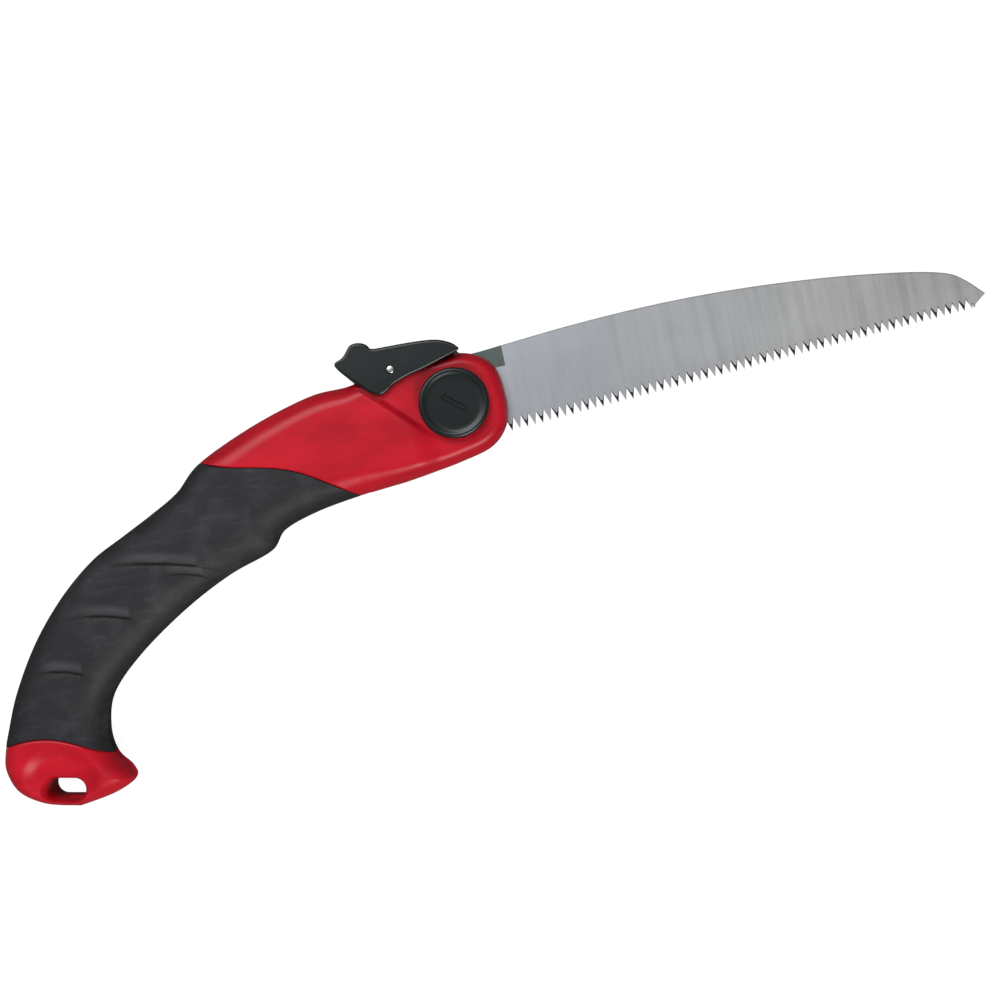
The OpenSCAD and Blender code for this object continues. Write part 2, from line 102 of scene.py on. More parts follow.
# ------------------------------------------------------------------------------- shader maths
class Shade:
    """A value that varies over a surface. Arithmetic on it adds Math nodes."""

    def __init__(self, book: "NodeBook", socket: bpy.types.NodeSocket) -> None:
        """Keep the socket and the book that its nodes go into."""
        self.book = book
        self.socket = socket

    def _math(self, operation: str, *values: Number) -> "Shade":
        """Add a Math node on these values."""
        return self.book.node("ShaderNodeMath", {"operation": operation}, dict(enumerate(values)))

    def __add__(self, other: Number) -> "Shade":
        """Return the sum."""
        return self._math("ADD", self, other)

    def __radd__(self, other: Number) -> "Shade":
        """Return the sum, with a number first."""
        return self._math("ADD", other, self)

    def __sub__(self, other: Number) -> "Shade":
        """Return the difference."""
        return self._math("SUBTRACT", self, other)

    def __rsub__(self, other: Number) -> "Shade":
        """Return the difference, with a number first."""
        return self._math("SUBTRACT", other, self)

    def __mul__(self, other: Number) -> "Shade":
        """Return the product."""
        return self._math("MULTIPLY", self, other)

    def __rmul__(self, other: Number) -> "Shade":
        """Return the product, with a number first."""
        return self._math("MULTIPLY", other, self)

    def between(self, low: float, high: float) -> "Shade":
        """Return 0 below low and 1 above high, with a soft step between them.

        Args:
            low: Value where the step starts.
            high: Value where the step ends.

        Returns:
            The step, from 0 to 1.
        """
        return self.book.node(
            "ShaderNodeMapRange",
            {"interpolation_type": "SMOOTHSTEP"},
            {"Value": self, "From Min": low, "From Max": high},
        )


class NodeBook:
    """The node tree of one material, with a method that adds any node."""

    def __init__(self, name: str) -> None:
        """Start a material with a principled shader and its output."""
        self.material = bpy.data.materials.new(name)
        self.material.use_nodes = True
        self.tree = self.material.node_tree
        self.tree.nodes.clear()
        self.shader = self.tree.nodes.new("ShaderNodeBsdfPrincipled")
        output = self.tree.nodes.new("ShaderNodeOutputMaterial")
        self.tree.links.new(self.shader.outputs[0], output.inputs[0])

    def node(
        self,
        kind: str,
        settings: dict[str, Any] | None = None,
        inputs: dict[Any, Any] | None = None,
        output: int | str = 0,
    ) -> Shade:
        """Add a node.

        Args:
            kind: Type of the node.
            settings: Its properties, set first.
            inputs: Values or links of its sockets, by name or number.
            output: The output to return.

        Returns:
            The chosen output.
        """
        made = self.tree.nodes.new(kind)
        for key, value in (settings or {}).items():
            setattr(made, key, value)
        for key, value in (inputs or {}).items():
            if isinstance(value, Shade):
                self.tree.links.new(value.socket, made.inputs[key])
            else:
                made.inputs[key].default_value = value
        return Shade(self, made.outputs[output])

    def places(self, stretch: Sequence[float] = (1, 1, 1), turn: float = 0.0) -> Shade:
        """Return object coordinates in millimetres, stretched along each axis.

        Args:
            stretch: Factor for each axis, where a larger one makes a pattern finer.
            turn: Angle in degrees that the pattern is turned about Z.

        Returns:
            The coordinates.
        """
        place = self.node("ShaderNodeTexCoord", output="Object")
        return self.node(
            "ShaderNodeMapping",
            {"vector_type": "POINT"},
            {
                "Vector": place,
                "Rotation": (0, 0, math.radians(turn)),
                "Scale": tuple(f / MM for f in stretch),
            },
        )

    def along(self, axis: str) -> Shade:
        """Return one object coordinate in millimetres."""
        place = self.node("ShaderNodeTexCoord", output="Object")
        return self.node("ShaderNodeSeparateXYZ", None, {0: place}, axis) * (1 / MM)

    def noise(self, place: Shade, scale: float, detail: float = 3.0, rough: float = 0.55) -> Shade:
        """Return noise of a given scale.

        Args:
            place: Coordinates that it follows.
            scale: Number of its waves in a unit.
            detail: Number of its octaves.
            rough: Strength of its fine octaves.

        Returns:
            The noise, about 0.5.
        """
        return self.node(
            "ShaderNodeTexNoise",
            None,
            {"Vector": place, "Scale": scale, "Detail": detail, "Roughness": rough},
        )

    def mix(self, share: Number, first: Any, second: Any) -> Shade:
        """Return a colour between two others.

        Args:
            share: Part that the second colour has.
            first: Colour at 0, as three numbers or a link.
            second: Colour at 1, as three numbers or a link.

        Returns:
            The colour.
        """
        first, second = (c if isinstance(c, Shade) else (*c, 1.0) for c in (first, second))
        return self.node(
            "ShaderNodeMix", {"data_type": "RGBA"}, {0: share, 6: first, 7: second}, 2
        )

    def mark(self, start: Sequence[float], end: Sequence[float], width: float) -> Shade:
        """Return 1 on a bowed line over the XY plane, fading to 0 beside it and at its ends.

        Args:
            start: Place where the line starts softly, in millimetres.
            end: Place where it ends more sharply.
            width: Distance at which it has faded.

        Returns:
            The mark.
        """
        run = (end[0] - start[0], end[1] - start[1])
        length = math.hypot(*run)
        x = self.along("X") - start[0]
        y = self.along("Y") - start[1]
        along = (x * run[0] + y * run[1]) * (1 / length**2)
        bow = along * (1 - along) * (4 * FOLD_BOW)
        side = (x * run[1] - y * run[0]) * (1 / length) + bow
        across = side.between(-width, 0) * (1 - side.between(0, width))
        return across * along.between(0, 0.45) * (1 - along.between(0.94, 1.03))

    def bump(self, height: Shade, depth: float, strength: float = 1.0) -> Shade:
        """Return a normal that a height in the range 0 to 1 tilts.

        Args:
            height: The height.
            depth: What a height of 1 stands for, in millimetres.
            strength: Share of the tilt that shows.

        Returns:
            The normal.
        """
        return self.node(
            "ShaderNodeBump", None, {"Height": height, "Distance": depth * MM, "Strength": strength}
        )

    def dress(self, **sockets: Any) -> bpy.types.Material:
        """Set the shader's sockets, whose names have spaces where the keywords have underscores.

        Returns:
            The material.
        """
        for key, value in sockets.items():
            socket = self.shader.inputs[key.replace("_", " ")]
            if isinstance(value, Shade):
                self.tree.links.new(value.socket, socket)
            else:
                socket.default_value = value
        return self.material


# ------------------------------------------------------------------------------- finishes
@dataclass(frozen=True)
class Moulding:
    """A hard moulded plastic with a fine grain, faint flow marks and rubbed patches."""

    name: str
    colour: tuple[float, float, float]
    deep: tuple[float, float, float]
    rubbed_and_highlight: tuple[float, float, float]
    roughness: float
    grain: float
    grain_depth: float
    coat: float = 0.0
    sheen_level: float = 0.3

    def material(self) -> bpy.types.Material:
        """Return the finish as a material."""
        book = NodeBook(self.name)
        place = book.places()
        flow = book.noise(book.places((0.6, 1.6, 1.0), 35), 0.05, 4)
        patches = book.noise(place, 0.09, 5, 0.6)
        grain = book.noise(place, self.grain, 2)
        scuffs = book.noise(book.places((0.25, 2.2, 1.0), -28), 0.8, 2, 0.7).between(0.66, 0.78)
        tint = book.mix(flow.between(0.3, 0.72), self.deep, self.colour)
        colour = book.mix(patches.between(0.58, 0.8) * 0.35 + scuffs * 0.12, tint, self.rubbed_and_highlight)
        rough = self.roughness - 0.06 + grain * 0.06 + patches * 0.07 + scuffs * 0.05
        height = grain + flow * 0.4 - scuffs * 0.15
        return book.dress(
            Base_Color=colour,
            Roughness=rough,
            Normal=book.bump(height, self.grain_depth, 0.6),
            Specular_IOR_Level=self.sheen_level,
            Coat_Weight=self.coat,
            Coat_Roughness=0.22,
        )


@dataclass(frozen=True)
class SoftRubber:
    """A matt rubber with an even stipple, faint moulding lines, lighter worn places, painted shade in its
    folds and a painted highlight above each fold.
    """

    name: str
    colour: tuple[float, float, float]
    # Colour of worn places. The painted highlight above the folds is also mixed towards it.
    worn_and_highlight_tone: tuple[float, float, float]
    folds: tuple[tuple[Point, Point], ...] = ()
    # Width of the painted shade in the folds, and offset and width of the painted highlight above them.
    painted_shade_width: float = 0.75
    painted_highlight_shift: float = 2.6
    painted_highlight_width: float = 3.2

    def painted_fold_light(self, book: NodeBook) -> tuple[Shade, Shade]:
        """Return the painted shade in the folds and the painted highlight on the rubber above them."""
        painted_fold_shade = 0.0
        rubbed_and_highlight = 0.0
        for start, end in self.folds:
            highlight_offset = np.array([0.2, 1.0]) * self.painted_highlight_shift
            # Painted shade along each fold, and a painted highlight on a band just above it.
            painted_fold_shade = painted_fold_shade + book.mark(start, end, self.painted_shade_width)
            rubbed_and_highlight = rubbed_and_highlight + book.mark(start + highlight_offset, end + highlight_offset, self.painted_highlight_width)
        return painted_fold_shade, rubbed_and_highlight

    def material(self) -> bpy.types.Material:
        """Return the finish as a material."""
        book = NodeBook(self.name)
        place = book.places()
        painted_fold_shade, rubbed_and_highlight = self.painted_fold_light(book)
        stipple = book.node(
            "ShaderNodeTexVoronoi",
            {"feature": "SMOOTH_F1"},
            {"Vector": place, "Scale": 1.7, "Smoothness": 0.5},
        )
        dust = book.noise(place, 0.07, 5, 0.62)
        fine = book.noise(place, 2.6, 3)
        streaks = book.noise(book.places((0.22, 1.5, 1.0), 12), 0.35, 3)
        # Real wear from dust and streaks, plus the painted highlight above the folds.
        wear_and_highlight_share = dust.between(0.45, 0.75) * 0.35 + streaks.between(0.5, 0.75) * 0.2 + rubbed_and_highlight * 0.5
        tint = book.mix(wear_and_highlight_share + fine * 0.12, self.colour, self.worn_and_highlight_tone)
        # The folds are darkened almost to black: painted shade.
        colour = book.mix(painted_fold_shade * 0.85, tint, (0.002, 0.002, 0.002))
        return book.dress(
            Base_Color=colour,
            Roughness=0.5 + dust * 0.16 + stipple * 0.06 + painted_fold_shade * 0.2,
            Normal=book.bump(stipple + fine * 0.5, 0.05, 0.55),
            Specular_IOR_Level=0.28,
        )


@dataclass(frozen=True)
class GroundSteel:
    """Saw steel with fine grinding lines across the blade, cooler at the root than at the tip."""

    name: str
    root: tuple[float, float, float]
    tip: tuple[float, float, float]
    roughness: float
    line_turn: float = 0.0

    def material(self) -> bpy.types.Material:
        """Return the finish as a material."""
        book = NodeBook(self.name)
        lines = book.noise(book.places((1.0, 0.02, 1.0), self.line_turn), 2.6, 4, 0.7)
        broad = book.noise(book.places((1.0, 0.05, 1.0), self.line_turn), 0.22, 3)
        smears = book.noise(book.places((0.4, 1.0, 1.0), 6), 0.06, 4)
        blend = book.along("X").between(20, 215)
        tint = book.mix(blend, self.root, self.tip)
        dull = tuple(0.8 * c for c in self.root)
        colour = book.mix(broad.between(0.35, 0.75) * 0.35 + lines * 0.18, tint, dull)
        return book.dress(
            Base_Color=colour,
            Metallic=1.0 - smears * 0.06,
            Roughness=self.roughness + (lines - 0.5) * 0.16 + smears * 0.08,
            Normal=book.bump(lines + broad * 0.5, 0.012, 0.5),
        )


@dataclass(frozen=True)
class PlainMetal:
    """Plated or cast metal with a fine mottle and small turning marks."""

    name: str
    colour: tuple[float, float, float]
    stained: tuple[float, float, float]
    roughness: float

    def material(self) -> bpy.types.Material:
        """Return the finish as a material."""
        book = NodeBook(self.name)
        place = book.places()
        mottle = book.noise(place, 0.5, 4)
        fine = book.noise(place, 4.0, 3)
        stain = book.noise(place, 0.16, 4).between(0.5, 0.75)
        return book.dress(
            Base_Color=book.mix(stain * 0.6 + mottle * 0.2, self.colour, self.stained),
            Metallic=1.0 - stain * 0.1,
            Roughness=self.roughness + (mottle - 0.5) * 0.18 + stain * 0.1,
            Normal=book.bump(fine + mottle, 0.02, 0.4),
        )


Finish = Moulding | SoftRubber | GroundSteel | PlainMetal

RED = Moulding(
    name="crimson_plastic",
    colour=(0.52, 0.008, 0.02),
    deep=(0.38, 0.005, 0.014),
    rubbed_and_highlight=(0.58, 0.03, 0.045),
    roughness=0.34,
    grain=1.9,
    grain_depth=0.03,
    coat=0.03,
    sheen_level=0.22,
)
BLACK = Moulding(
    name="black_plastic",
    colour=(0.009, 0.013, 0.013),
    deep=(0.006, 0.009, 0.009),
    rubbed_and_highlight=(0.028, 0.033, 0.033),
    roughness=0.3,
    grain=2.2,
    grain_depth=0.03,
    coat=0.0,
    sheen_level=0.4,
)
ACETAL = Moulding(
    name="white_acetal",
    colour=(0.76, 0.75, 0.7),
    deep=(0.68, 0.67, 0.61),
    rubbed_and_highlight=(0.8, 0.79, 0.75),
    roughness=0.42,
    grain=1.5,
    grain_depth=0.02,
)
# Its folds carry painted shade, with a painted highlight above each.
RUBBER = SoftRubber(
    name="black_rubber",
    colour=(0.012, 0.0125, 0.014),
    worn_and_highlight_tone=(0.062, 0.062, 0.068),
    folds=FOLDS,
)
BLADE_STEEL = GroundSteel(
    name="ground_steel",
    root=(0.44, 0.455, 0.485),
    tip=(0.78, 0.775, 0.75),
    roughness=0.42,
)
# The bevels' grinding direction and roughness are their own. Their dark colour is painted shade, the darkness
# the tilted bevels take from the light.
SHADED_BEVEL_STEEL = GroundSteel(
    name="shaded_tooth_bevel_steel",
    root=(0.14, 0.145, 0.155),
    tip=(0.15, 0.15, 0.15),
    roughness=0.3,
    line_turn=62,
)
ROOT_STEEL = PlainMetal(
    name="unground_steel",
    colour=(0.13, 0.155, 0.148),
    stained=(0.08, 0.1, 0.096),
    roughness=0.46,
)
ZINC = PlainMetal(
    name="zinc_steel",
    colour=(0.62, 0.63, 0.64),
    stained=(0.42, 0.43, 0.45),
    roughness=0.3,
)
SPRING = PlainMetal(
    name="spring_steel",
    colour=(0.5, 0.5, 0.52),
    stained=(0.3, 0.29, 0.29),
    roughness=0.32,
)
BRONZE = PlainMetal(
    name="bearing_bronze",
    colour=(0.6, 0.42, 0.2),
    stained=(0.36, 0.22, 0.1),
    roughness=0.38,
)


class Wardrobe:
    """Finishes made into materials once each."""

    def __init__(self) -> None:
        """Start with no material made."""
        self.made: dict[str, bpy.types.Material] = {}

    def take(self, finish: Finish) -> bpy.types.Material:
        """Return the material of a finish.

        Args:
            finish: The finish.

        Returns:
            Its material, which is shared by every piece with that finish.
        """
        if finish.name not in self.made:
            self.made[finish.name] = finish.material()
        return self.made[finish.name]


WARDROBE = Wardrobe()


# ------------------------------------------------------------------------------- mesh tools
def spline(points: Array, u: Array) -> Array:
    """Return places on the smooth curve through a list of points.

    Args:
        points: The points, one to a row.
        u: Places along the curve, where each whole number is a point.

    Returns:
        The places, with one more axis than u.
    """
    last = len(points) - 1
    i = np.clip(np.floor(u).astype(int), 0, last - 1)
    f = (u - i)[..., None]
    a, b, c, d = (points[np.clip(i + k, 0, last)] for k in (-1, 0, 1, 2))
    return 0.5 * (
        2 * b + (c - a) * f + (2 * a - 5 * b + 4 * c - d) * f**2 + (3 * b - a - 3 * c + d) * f**3
    )


def soft_step(x: Array) -> Array:
    """Return a step that rises smoothly from 0 at 0 to 1 at 1."""
    t = np.clip(x, 0, 1)
    return t * t * (3 - 2 * t)


def turned(point: Array, degrees: float) -> Array:
    """Return points turned about the origin."""
    c = math.cos(math.radians(degrees))
    s = math.sin(math.radians(degrees))
    return np.stack([point[..., 0] * c - point[..., 1] * s, point[..., 0] * s + point[..., 1] * c], -1)


def gap_to_loop(points: Array, loop: Array) -> Array:
    """Return how far points are from a closed outline.

    Args:
        points: Flat points, one to a row.
        loop: Corners of the outline.

    Returns:
        The distances.
    """
    run = np.roll(loop, -1, 0) - loop
    size = np.maximum((run**2).sum(1), 1e-12)
    found = []
    for part in np.array_split(points, max(1, len(points) // 4000)):
        away = part[:, None] - loop
        f = np.clip((away * run).sum(2) / size, 0, 1)
        found.append(np.sqrt(((away - f[..., None] * run) ** 2).sum(2).min(1)))
    return np.concatenate(found)


def grid(points: Array, bm: bmesh.types.BMesh | None = None) -> bmesh.types.BMesh:
    """Lay a grid over rows of points.

    Args:
        points: The points, by row and by place in the row.
        bm: Mesh that the grid is added to. A new one is started without it.

    Returns:
        The mesh.
    """
    bm = bm or bmesh.new()
    rows, columns = points.shape[:2]
    made = bmesh.ops.create_grid(bm, x_segments=rows - 1, y_segments=columns - 1, size=1)["verts"]
    for vert in made:
        i = round((vert.co.x + 1) / 2 * (rows - 1))
        j = round((vert.co.y + 1) / 2 * (columns - 1))
        vert.co = points[i, j]
    return bm


def open_edges(bm: bmesh.types.BMesh) -> list[bmesh.types.BMEdge]:
    """Return the edges that have one face."""
    return [edge for edge in bm.edges if edge.is_boundary]


def slab(outline: Iterable[Sequence[float]], low: float, high: float) -> bmesh.types.BMesh:
    """Return a plate with an outline.

    Args:
        outline: Corners of the plate.
        low: Height of its lower face.
        high: Height of its upper face.

    Returns:
        The mesh.
    """
    bm = bmesh.new()
    face = bm.faces.new([bm.verts.new((p[0], p[1], low)) for p in outline])
    rise(bm, [face], Vector((0, 0, high - low)))
    return bm


def rise(bm: bmesh.types.BMesh, faces: Sequence[bmesh.types.BMFace], by: Vector) -> None:
    """Extrude faces along a vector, and leave the old ones as the other end."""
    geometry = bmesh.ops.extrude_face_region(bm, geom=list(faces), use_keep_orig=True)["geom"]
    moved = [item for item in geometry if isinstance(item, bmesh.types.BMVert)]
    bmesh.ops.translate(bm, verts=moved, vec=by)
    bmesh.ops.recalc_face_normals(bm, faces=bm.faces)


def lathe(profile: Sequence[Point], steps: int = 96, at: Point = (0, 0)) -> bmesh.types.BMesh:
    """Return a turned body.

    Args:
        profile: Points as radius and height, from the axis round and back to the axis.
        steps: Number of sides.
        at: Place of the axis.

    Returns:
        The mesh.
    """
    bm = bmesh.new()
    verts = [bm.verts.new((at[0] + r, at[1], z)) for r, z in profile]
    edges = [bm.edges.new(pair) for pair in zip(verts, verts[1:])]
    bmesh.ops.spin(
        bm,
        geom=verts + edges,
        cent=(at[0], at[1], 0),
        axis=(0, 0, 1),
        angle=math.tau,
        steps=steps,
        use_merge=True,
    )
    bmesh.ops.remove_doubles(bm, verts=bm.verts, dist=1e-5)
    bmesh.ops.recalc_face_normals(bm, faces=bm.faces)
    return bm


def rod(at: Sequence[float], r: float, low: float, high: float, steps: int = 64) -> bmesh.types.BMesh:
    """Return an upright cylinder between two heights."""
    return lathe([(0, low), (r, low), (r, high), (0, high)], steps, (at[0], at[1]))


def stadium(length: float, width: float, spare: float = 0.0, steps: int = 24) -> Array:
    """Return the outline of a slot with round ends.

    Args:
        length: Length over its ends.
        width: Width.
        spare: Amount that it is widened by all round.
        steps: Number of sides on each end.

    Returns:
        The outline, centred on the origin.
    """
    half = (length - width) / 2
    r = width / 2 + spare
    angles = np.linspace(-np.pi / 2, np.pi / 2, steps)
    right = np.stack([half + r * np.cos(angles), r * np.sin(angles)], 1)
    return np.concatenate([right, -right])


def level(outline: Array, height: float | Array) -> Array:
    """Return an outline's points at a height, or each at its own height."""
    return np.column_stack([outline, np.broadcast_to(height, len(outline))])


def loft(rings: Sequence[Array]) -> bmesh.types.BMesh:
    """Return a body through rings of points.

    Args:
        rings: Rings of one length, from the lower end to the upper one.

    Returns:
        The mesh.
    """
    bm = bmesh.new()
    loops = [[bm.verts.new(point) for point in ring] for ring in rings]
    edges = []
    for loop in loops:
        edges += [bm.edges.new((a, b)) for a, b in zip(loop, loop[1:] + loop[:1])]
    n = len(loops[0])
    for i in range(len(loops) - 1):
        bmesh.ops.bridge_loops(bm, edges=edges[i * n : (i + 2) * n])
    bm.faces.new(loops[0])
    bm.faces.new(loops[-1])
    bmesh.ops.recalc_face_normals(bm, faces=bm.faces)
    return bm


def sharp_edges(bm: bmesh.types.BMesh, degrees: float) -> list[bmesh.types.BMEdge]:
    """Return the edges whose faces meet at more than an angle."""
    limit = math.radians(degrees)
    return [e for e in bm.edges if len(e.link_faces) == 2 and e.calc_face_angle(0) > limit]


def make(name: str, bm: bmesh.types.BMesh, finishes: Sequence[Finish] = ()) -> bpy.types.Object:
    """Turn a mesh in millimetres into an object in metres at the origin.

    Args:
        name: Name of the object.
        bm: The mesh, which is freed.
        finishes: Finishes by material number.

    Returns:
        The object.
    """
    bmesh.ops.scale(bm, vec=(MM, MM, MM), verts=bm.verts)
    mesh = bpy.data.meshes.new(name)
    bm.to_mesh(mesh)
    bm.free()
    for finish in finishes:
        mesh.materials.append(WARDROBE.take(finish))
    obj = bpy.data.objects.new(name, mesh)
    bpy.context.scene.collection.objects.link(obj)
    return obj


def bake_modifiers(obj: bpy.types.Object) -> None:
    """Give an object the mesh that its modifiers make, and remove them."""
    graph = bpy.context.evaluated_depsgraph_get()
    graph.update()
    mesh = bpy.data.meshes.new_from_object(obj.evaluated_get(graph))
    obj.modifiers.clear()
    old = obj.data
    obj.data = mesh
    bpy.data.meshes.remove(old)


def combine(obj: bpy.types.Object, tools: Sequence[bmesh.types.BMesh], cut: bool = True) -> None:
    """Cut tools from an object, or join them to it.

    Args:
        obj: The object.
        tools: Closed meshes in millimetres, which are used up.
        cut: True to cut, and False to join.
    """
    made = []
    for tool in tools:
        other = make(obj.name + "_tool", tool)
        for material in obj.data.materials:
            other.data.materials.append(material)
        step = obj.modifiers.new("step", "BOOLEAN")
        step.operation = "DIFFERENCE" if cut else "UNION"
        step.solver = "MANIFOLD"
        step.object = other
        made.append(other)
    before = len(obj.data.polygons)
    bake_modifiers(obj)
    for other in made:
        mesh = other.data
        bpy.data.objects.remove(other)
        bpy.data.meshes.remove(mesh)
    LOG.info("%s: %d faces, %d after %d tools", obj.name, before, len(obj.data.polygons), len(tools))


def raise_to_middle(obj: bpy.types.Object) -> None:
    """Move a mesh that was built about z = 0 up to the middle plane."""
    obj.data.transform(Matrix.Translation((0, 0, MID_Z * MM)))


def smooth_over(obj: bpy.types.Object, degrees: float = 32.0, flat_area: float = 12.0) -> None:
    """Shade an object smooth, apart from sharp edges and large flat faces.

    Args:
        obj: The object.
        degrees: Angle over which an edge stays sharp.
        flat_area: Area in square millimetres over which a face stays flat.
    """
    bm = bmesh.new()
    bm.from_mesh(obj.data)
    for face in bm.faces:
        face.smooth = face.calc_area() < flat_area * MM * MM
    for edge in sharp_edges(bm, degrees):
        edge.smooth = False
    bm.to_mesh(obj.data)
    bm.free()


def settle(obj: bpy.types.Object, body: Body, slot: Slot, *nodes: str) -> bpy.types.Object:
    """Make an object ride on a body, in place of CAD nodes.

    Args:
        obj: The object.
        body: Body that carries it.
        slot: Material slot of the piece; not used.
        nodes: CAD nodes that it stands for.

    Returns:
        The object.
    """
    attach(obj, body.value)
    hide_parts(*nodes)
    LOG.info("%s: %d faces on %s", obj.name, len(obj.data.polygons), body.value)
    return obj


# ------------------------------------------------------------------------------- handle
@dataclass(frozen=True)
class HandleForm:
    """Outer form of the handle in millimetres, measured from its middle plane."""

    back: tuple[Point, ...] = (
        (21.2, -3), (19.3, 11.5), (9, 19.7), (-8, 20.8), (-23, 22.8), (-39, 16.6), (-57, 15.6),
        (-82, 8.8), (-106.8, -1.7), (-118.5, -11.6), (-131, -18.4), (-144, -24.6), (-158, -31.5),
        (-173, -43.4), (-187.3, -59.3), (-199, -77.7), (-205.5, -92.4), (-208, -99.5),
        (-209.4, -108), (-205.8, -118), (-196, -125), (-182.5, -128.6),
    )  # fmt: skip
    belly: tuple[Point, ...] = (
        (21.2, -3), (19, -12.5), (11.5, -19.8), (-2, -23.3), (-15.4, -25.4), (-26, -26.8),
        (-33.5, -27.4), (-39.5, -27.9), (-45, -28.3), (-63.5, -31), (-78.5, -35.6), (-86, -43),
        (-104.7, -49.1), (-126, -59.5), (-147, -73.3), (-161, -86.5), (-165.6, -99.5),
        (-164.9, -110), (-160.2, -117.2), (-159.8, -122.6), (-168.5, -126.4), (-182.5, -128.6),
    )  # fmt: skip
    first: float = 0.03
    last: float = 20.97
    grip_front: float = 8.0
    grip_rear: float = 17.0
    front_bow: float = 3.9
    rear_bow: float = 5.9
    boss_h: float = 10.0
    body_heights: tuple[Point, ...] = ((0, 13), (9, 13), (12, 13), (15, 12.6), (18, 12.4), (21, 11))
    edge_rounds: tuple[Point, ...] = (
        (0, 4.5), (4, 6), (6, 9), (8, 11), (10, 15), (15, 15), (17, 11), (19, 8), (21, 6),
    )  # fmt: skip
    dome_power: float = 2.2
    crease_sum: float = -19.7
    crease_run: float = 3.4
    dish_at: Point = (-185.5, -114)
    dish_size: Point = (17, 12)
    dish_depth: float = 2.2
    dish_turn: float = -12.0
    parting: float = 0.05

    def across(self, u: Array, s: Array) -> Array:
        """Return points across the handle.

        Args:
            u: Stations along it, from the front of the boss to the butt.
            s: Share of the way from its back to its belly.

        Returns:
            Flat points.
        """
        start = spline(np.array(self.back), u)
        run = spline(np.array(self.belly), u) - start
        length = np.maximum(np.linalg.norm(run, axis=-1, keepdims=True), 0.01)
        side = np.stack([-run[..., 1], run[..., 0]], -1) / length
        front = np.maximum(0, 1 - abs(u - self.grip_front) / 3) * self.front_bow
        rear = np.maximum(0, 1 - abs(u - self.grip_rear) / 2) * self.rear_bow
        bow = front * (np.sin(np.pi * s) ** 2 - 0.25 * np.sin(math.tau * s))
        bow = bow + rear * np.sin(np.pi * s**0.85)
        return start + s[..., None] * run + side * bow[..., None]

    def place(self, u: Array, inset: float, s: Array) -> Array:
        """Return points across the handle, with both edges set in."""
        wide = spline(np.array(self.belly), u) - spline(np.array(self.back), u)
        share = np.minimum(0.45, inset / np.maximum(np.linalg.norm(wide, axis=-1), 1e-6))
        return self.across(u, share + s * (1 - 2 * share))

    def outline(self, inset: float) -> Array:
        """Return the closed outline of the handle, set in all round."""
        u = np.linspace(self.first, self.last, 260)
        back = self.place(u, inset, np.zeros_like(u))
        belly = self.place(u, inset, np.ones_like(u))
        return np.concatenate([back, belly[::-1]])

    def layer(self, u: Array, s: Array, inset: float) -> Array:
        """Return points on the outer surface, or on a surface set in from it.

        Args:
            u: Stations, by row and by place in the row.
            s: Shares across the handle, of the same shape.
            inset: Depth under the outer surface.

        Returns:
            Points whose height is over the middle plane.
        """
        flat = self.place(u, inset, s)
        gap = gap_to_loop(flat.reshape(-1, 2), self.outline(inset)).reshape(u.shape)
        gap[:, [0, -1]] = 0
        from_crease = (self.crease_sum - flat[..., 0] - flat[..., 1]) / math.sqrt(2)
        near_boss = soft_step(from_crease / self.crease_run)
        share = near_boss * soft_step((-8 - flat[..., 0]) / 12)
        tall = np.interp(u, *zip(*self.body_heights))
        high = self.boss_h + (tall - self.boss_h) * share - inset
        r = np.interp(u, *zip(*self.edge_rounds)) - inset / 2
        rise_to = high * (1 - (1 - np.minimum(1, gap / r)) ** self.dome_power) ** (1 / self.dome_power)
        offset = turned(flat - np.array(self.dish_at), -self.dish_turn) / np.array(self.dish_size)
        dish = self.dish_depth * (1 - soft_step((np.linalg.norm(offset, axis=-1) - 0.55) / 0.45))
        height = rise_to - (dish * np.minimum(1, gap / 3) if inset == 0 else 0)
        return np.concatenate([flat, np.maximum(height, self.parting)[..., None]], -1)

    def line(self, station: float, step: float | Array, s: Array) -> Array:
        """Return the stations of a line that is moved along the surface by a step in millimetres."""
        u = np.full_like(s, station)
        reach = self.across(u + 0.01, s) - self.across(u - 0.01, s)
        return u + step * 0.02 / np.maximum(np.linalg.norm(reach, axis=-1), 1e-6)


@dataclass
class Rows:
    """Lines across the handle, from front to butt, each with its depth under the outer surface."""

    form: HandleForm
    s: Array
    stations: list[Array] = field(default_factory=list)
    depths: list[Array] = field(default_factory=list)

    def add(self, station: float, step: float | Array, depth: float | Array) -> None:
        """Add one line."""
        self.stations.append(self.form.line(station, step, self.s))
        self.depths.append(np.broadcast_to(depth, self.s.shape))

    def run_to(self, station: float, step: float, depth: float, count: int) -> None:
        """Add evenly spaced lines up to a last one."""
        start = self.stations[-1]
        end = self.form.line(station, step, self.s)
        for i in range(1, count + 1):
            self.stations.append(start + (end - start) * i / count)
            self.depths.append(np.broadcast_to(depth, self.s.shape))

    def lip(self, station: float, step: float, r: float, facing: int, falling: bool) -> None:
        """Add a rounded lip, which is finer near the edges of the handle.

        Args:
            station: Station of the wall under the lip.
            step: Distance of that wall from the station, in millimetres.
            r: Radius of the lip.
            facing: 1 where the lip lies on the boss's side of its wall, and -1 on the butt's side.
            falling: True where the lip falls to the wall, and False where it rises from it.
        """
        size = r * (0.25 + 0.75 * soft_step(np.minimum(self.s, 1 - self.s) / 0.12))
        angles = np.linspace(0, np.pi / 2, 7)
        for angle in angles if falling else angles[::-1]:
            away = facing * size * (1 - math.sin(angle))
            self.add(station, step - away, size * (1 - math.cos(angle)))

    def points(self, core: float) -> Array:
        """Return the points of all lines, where a depth equal to core is the core's surface."""
        u = np.array(self.stations)
        s = np.broadcast_to(self.s, u.shape)
        outer = self.form.layer(u, s, 0.0)
        inner = self.form.layer(u, s, core)
        share = np.array(self.depths)[..., None] / core
        return outer * (1 - share) + inner * share


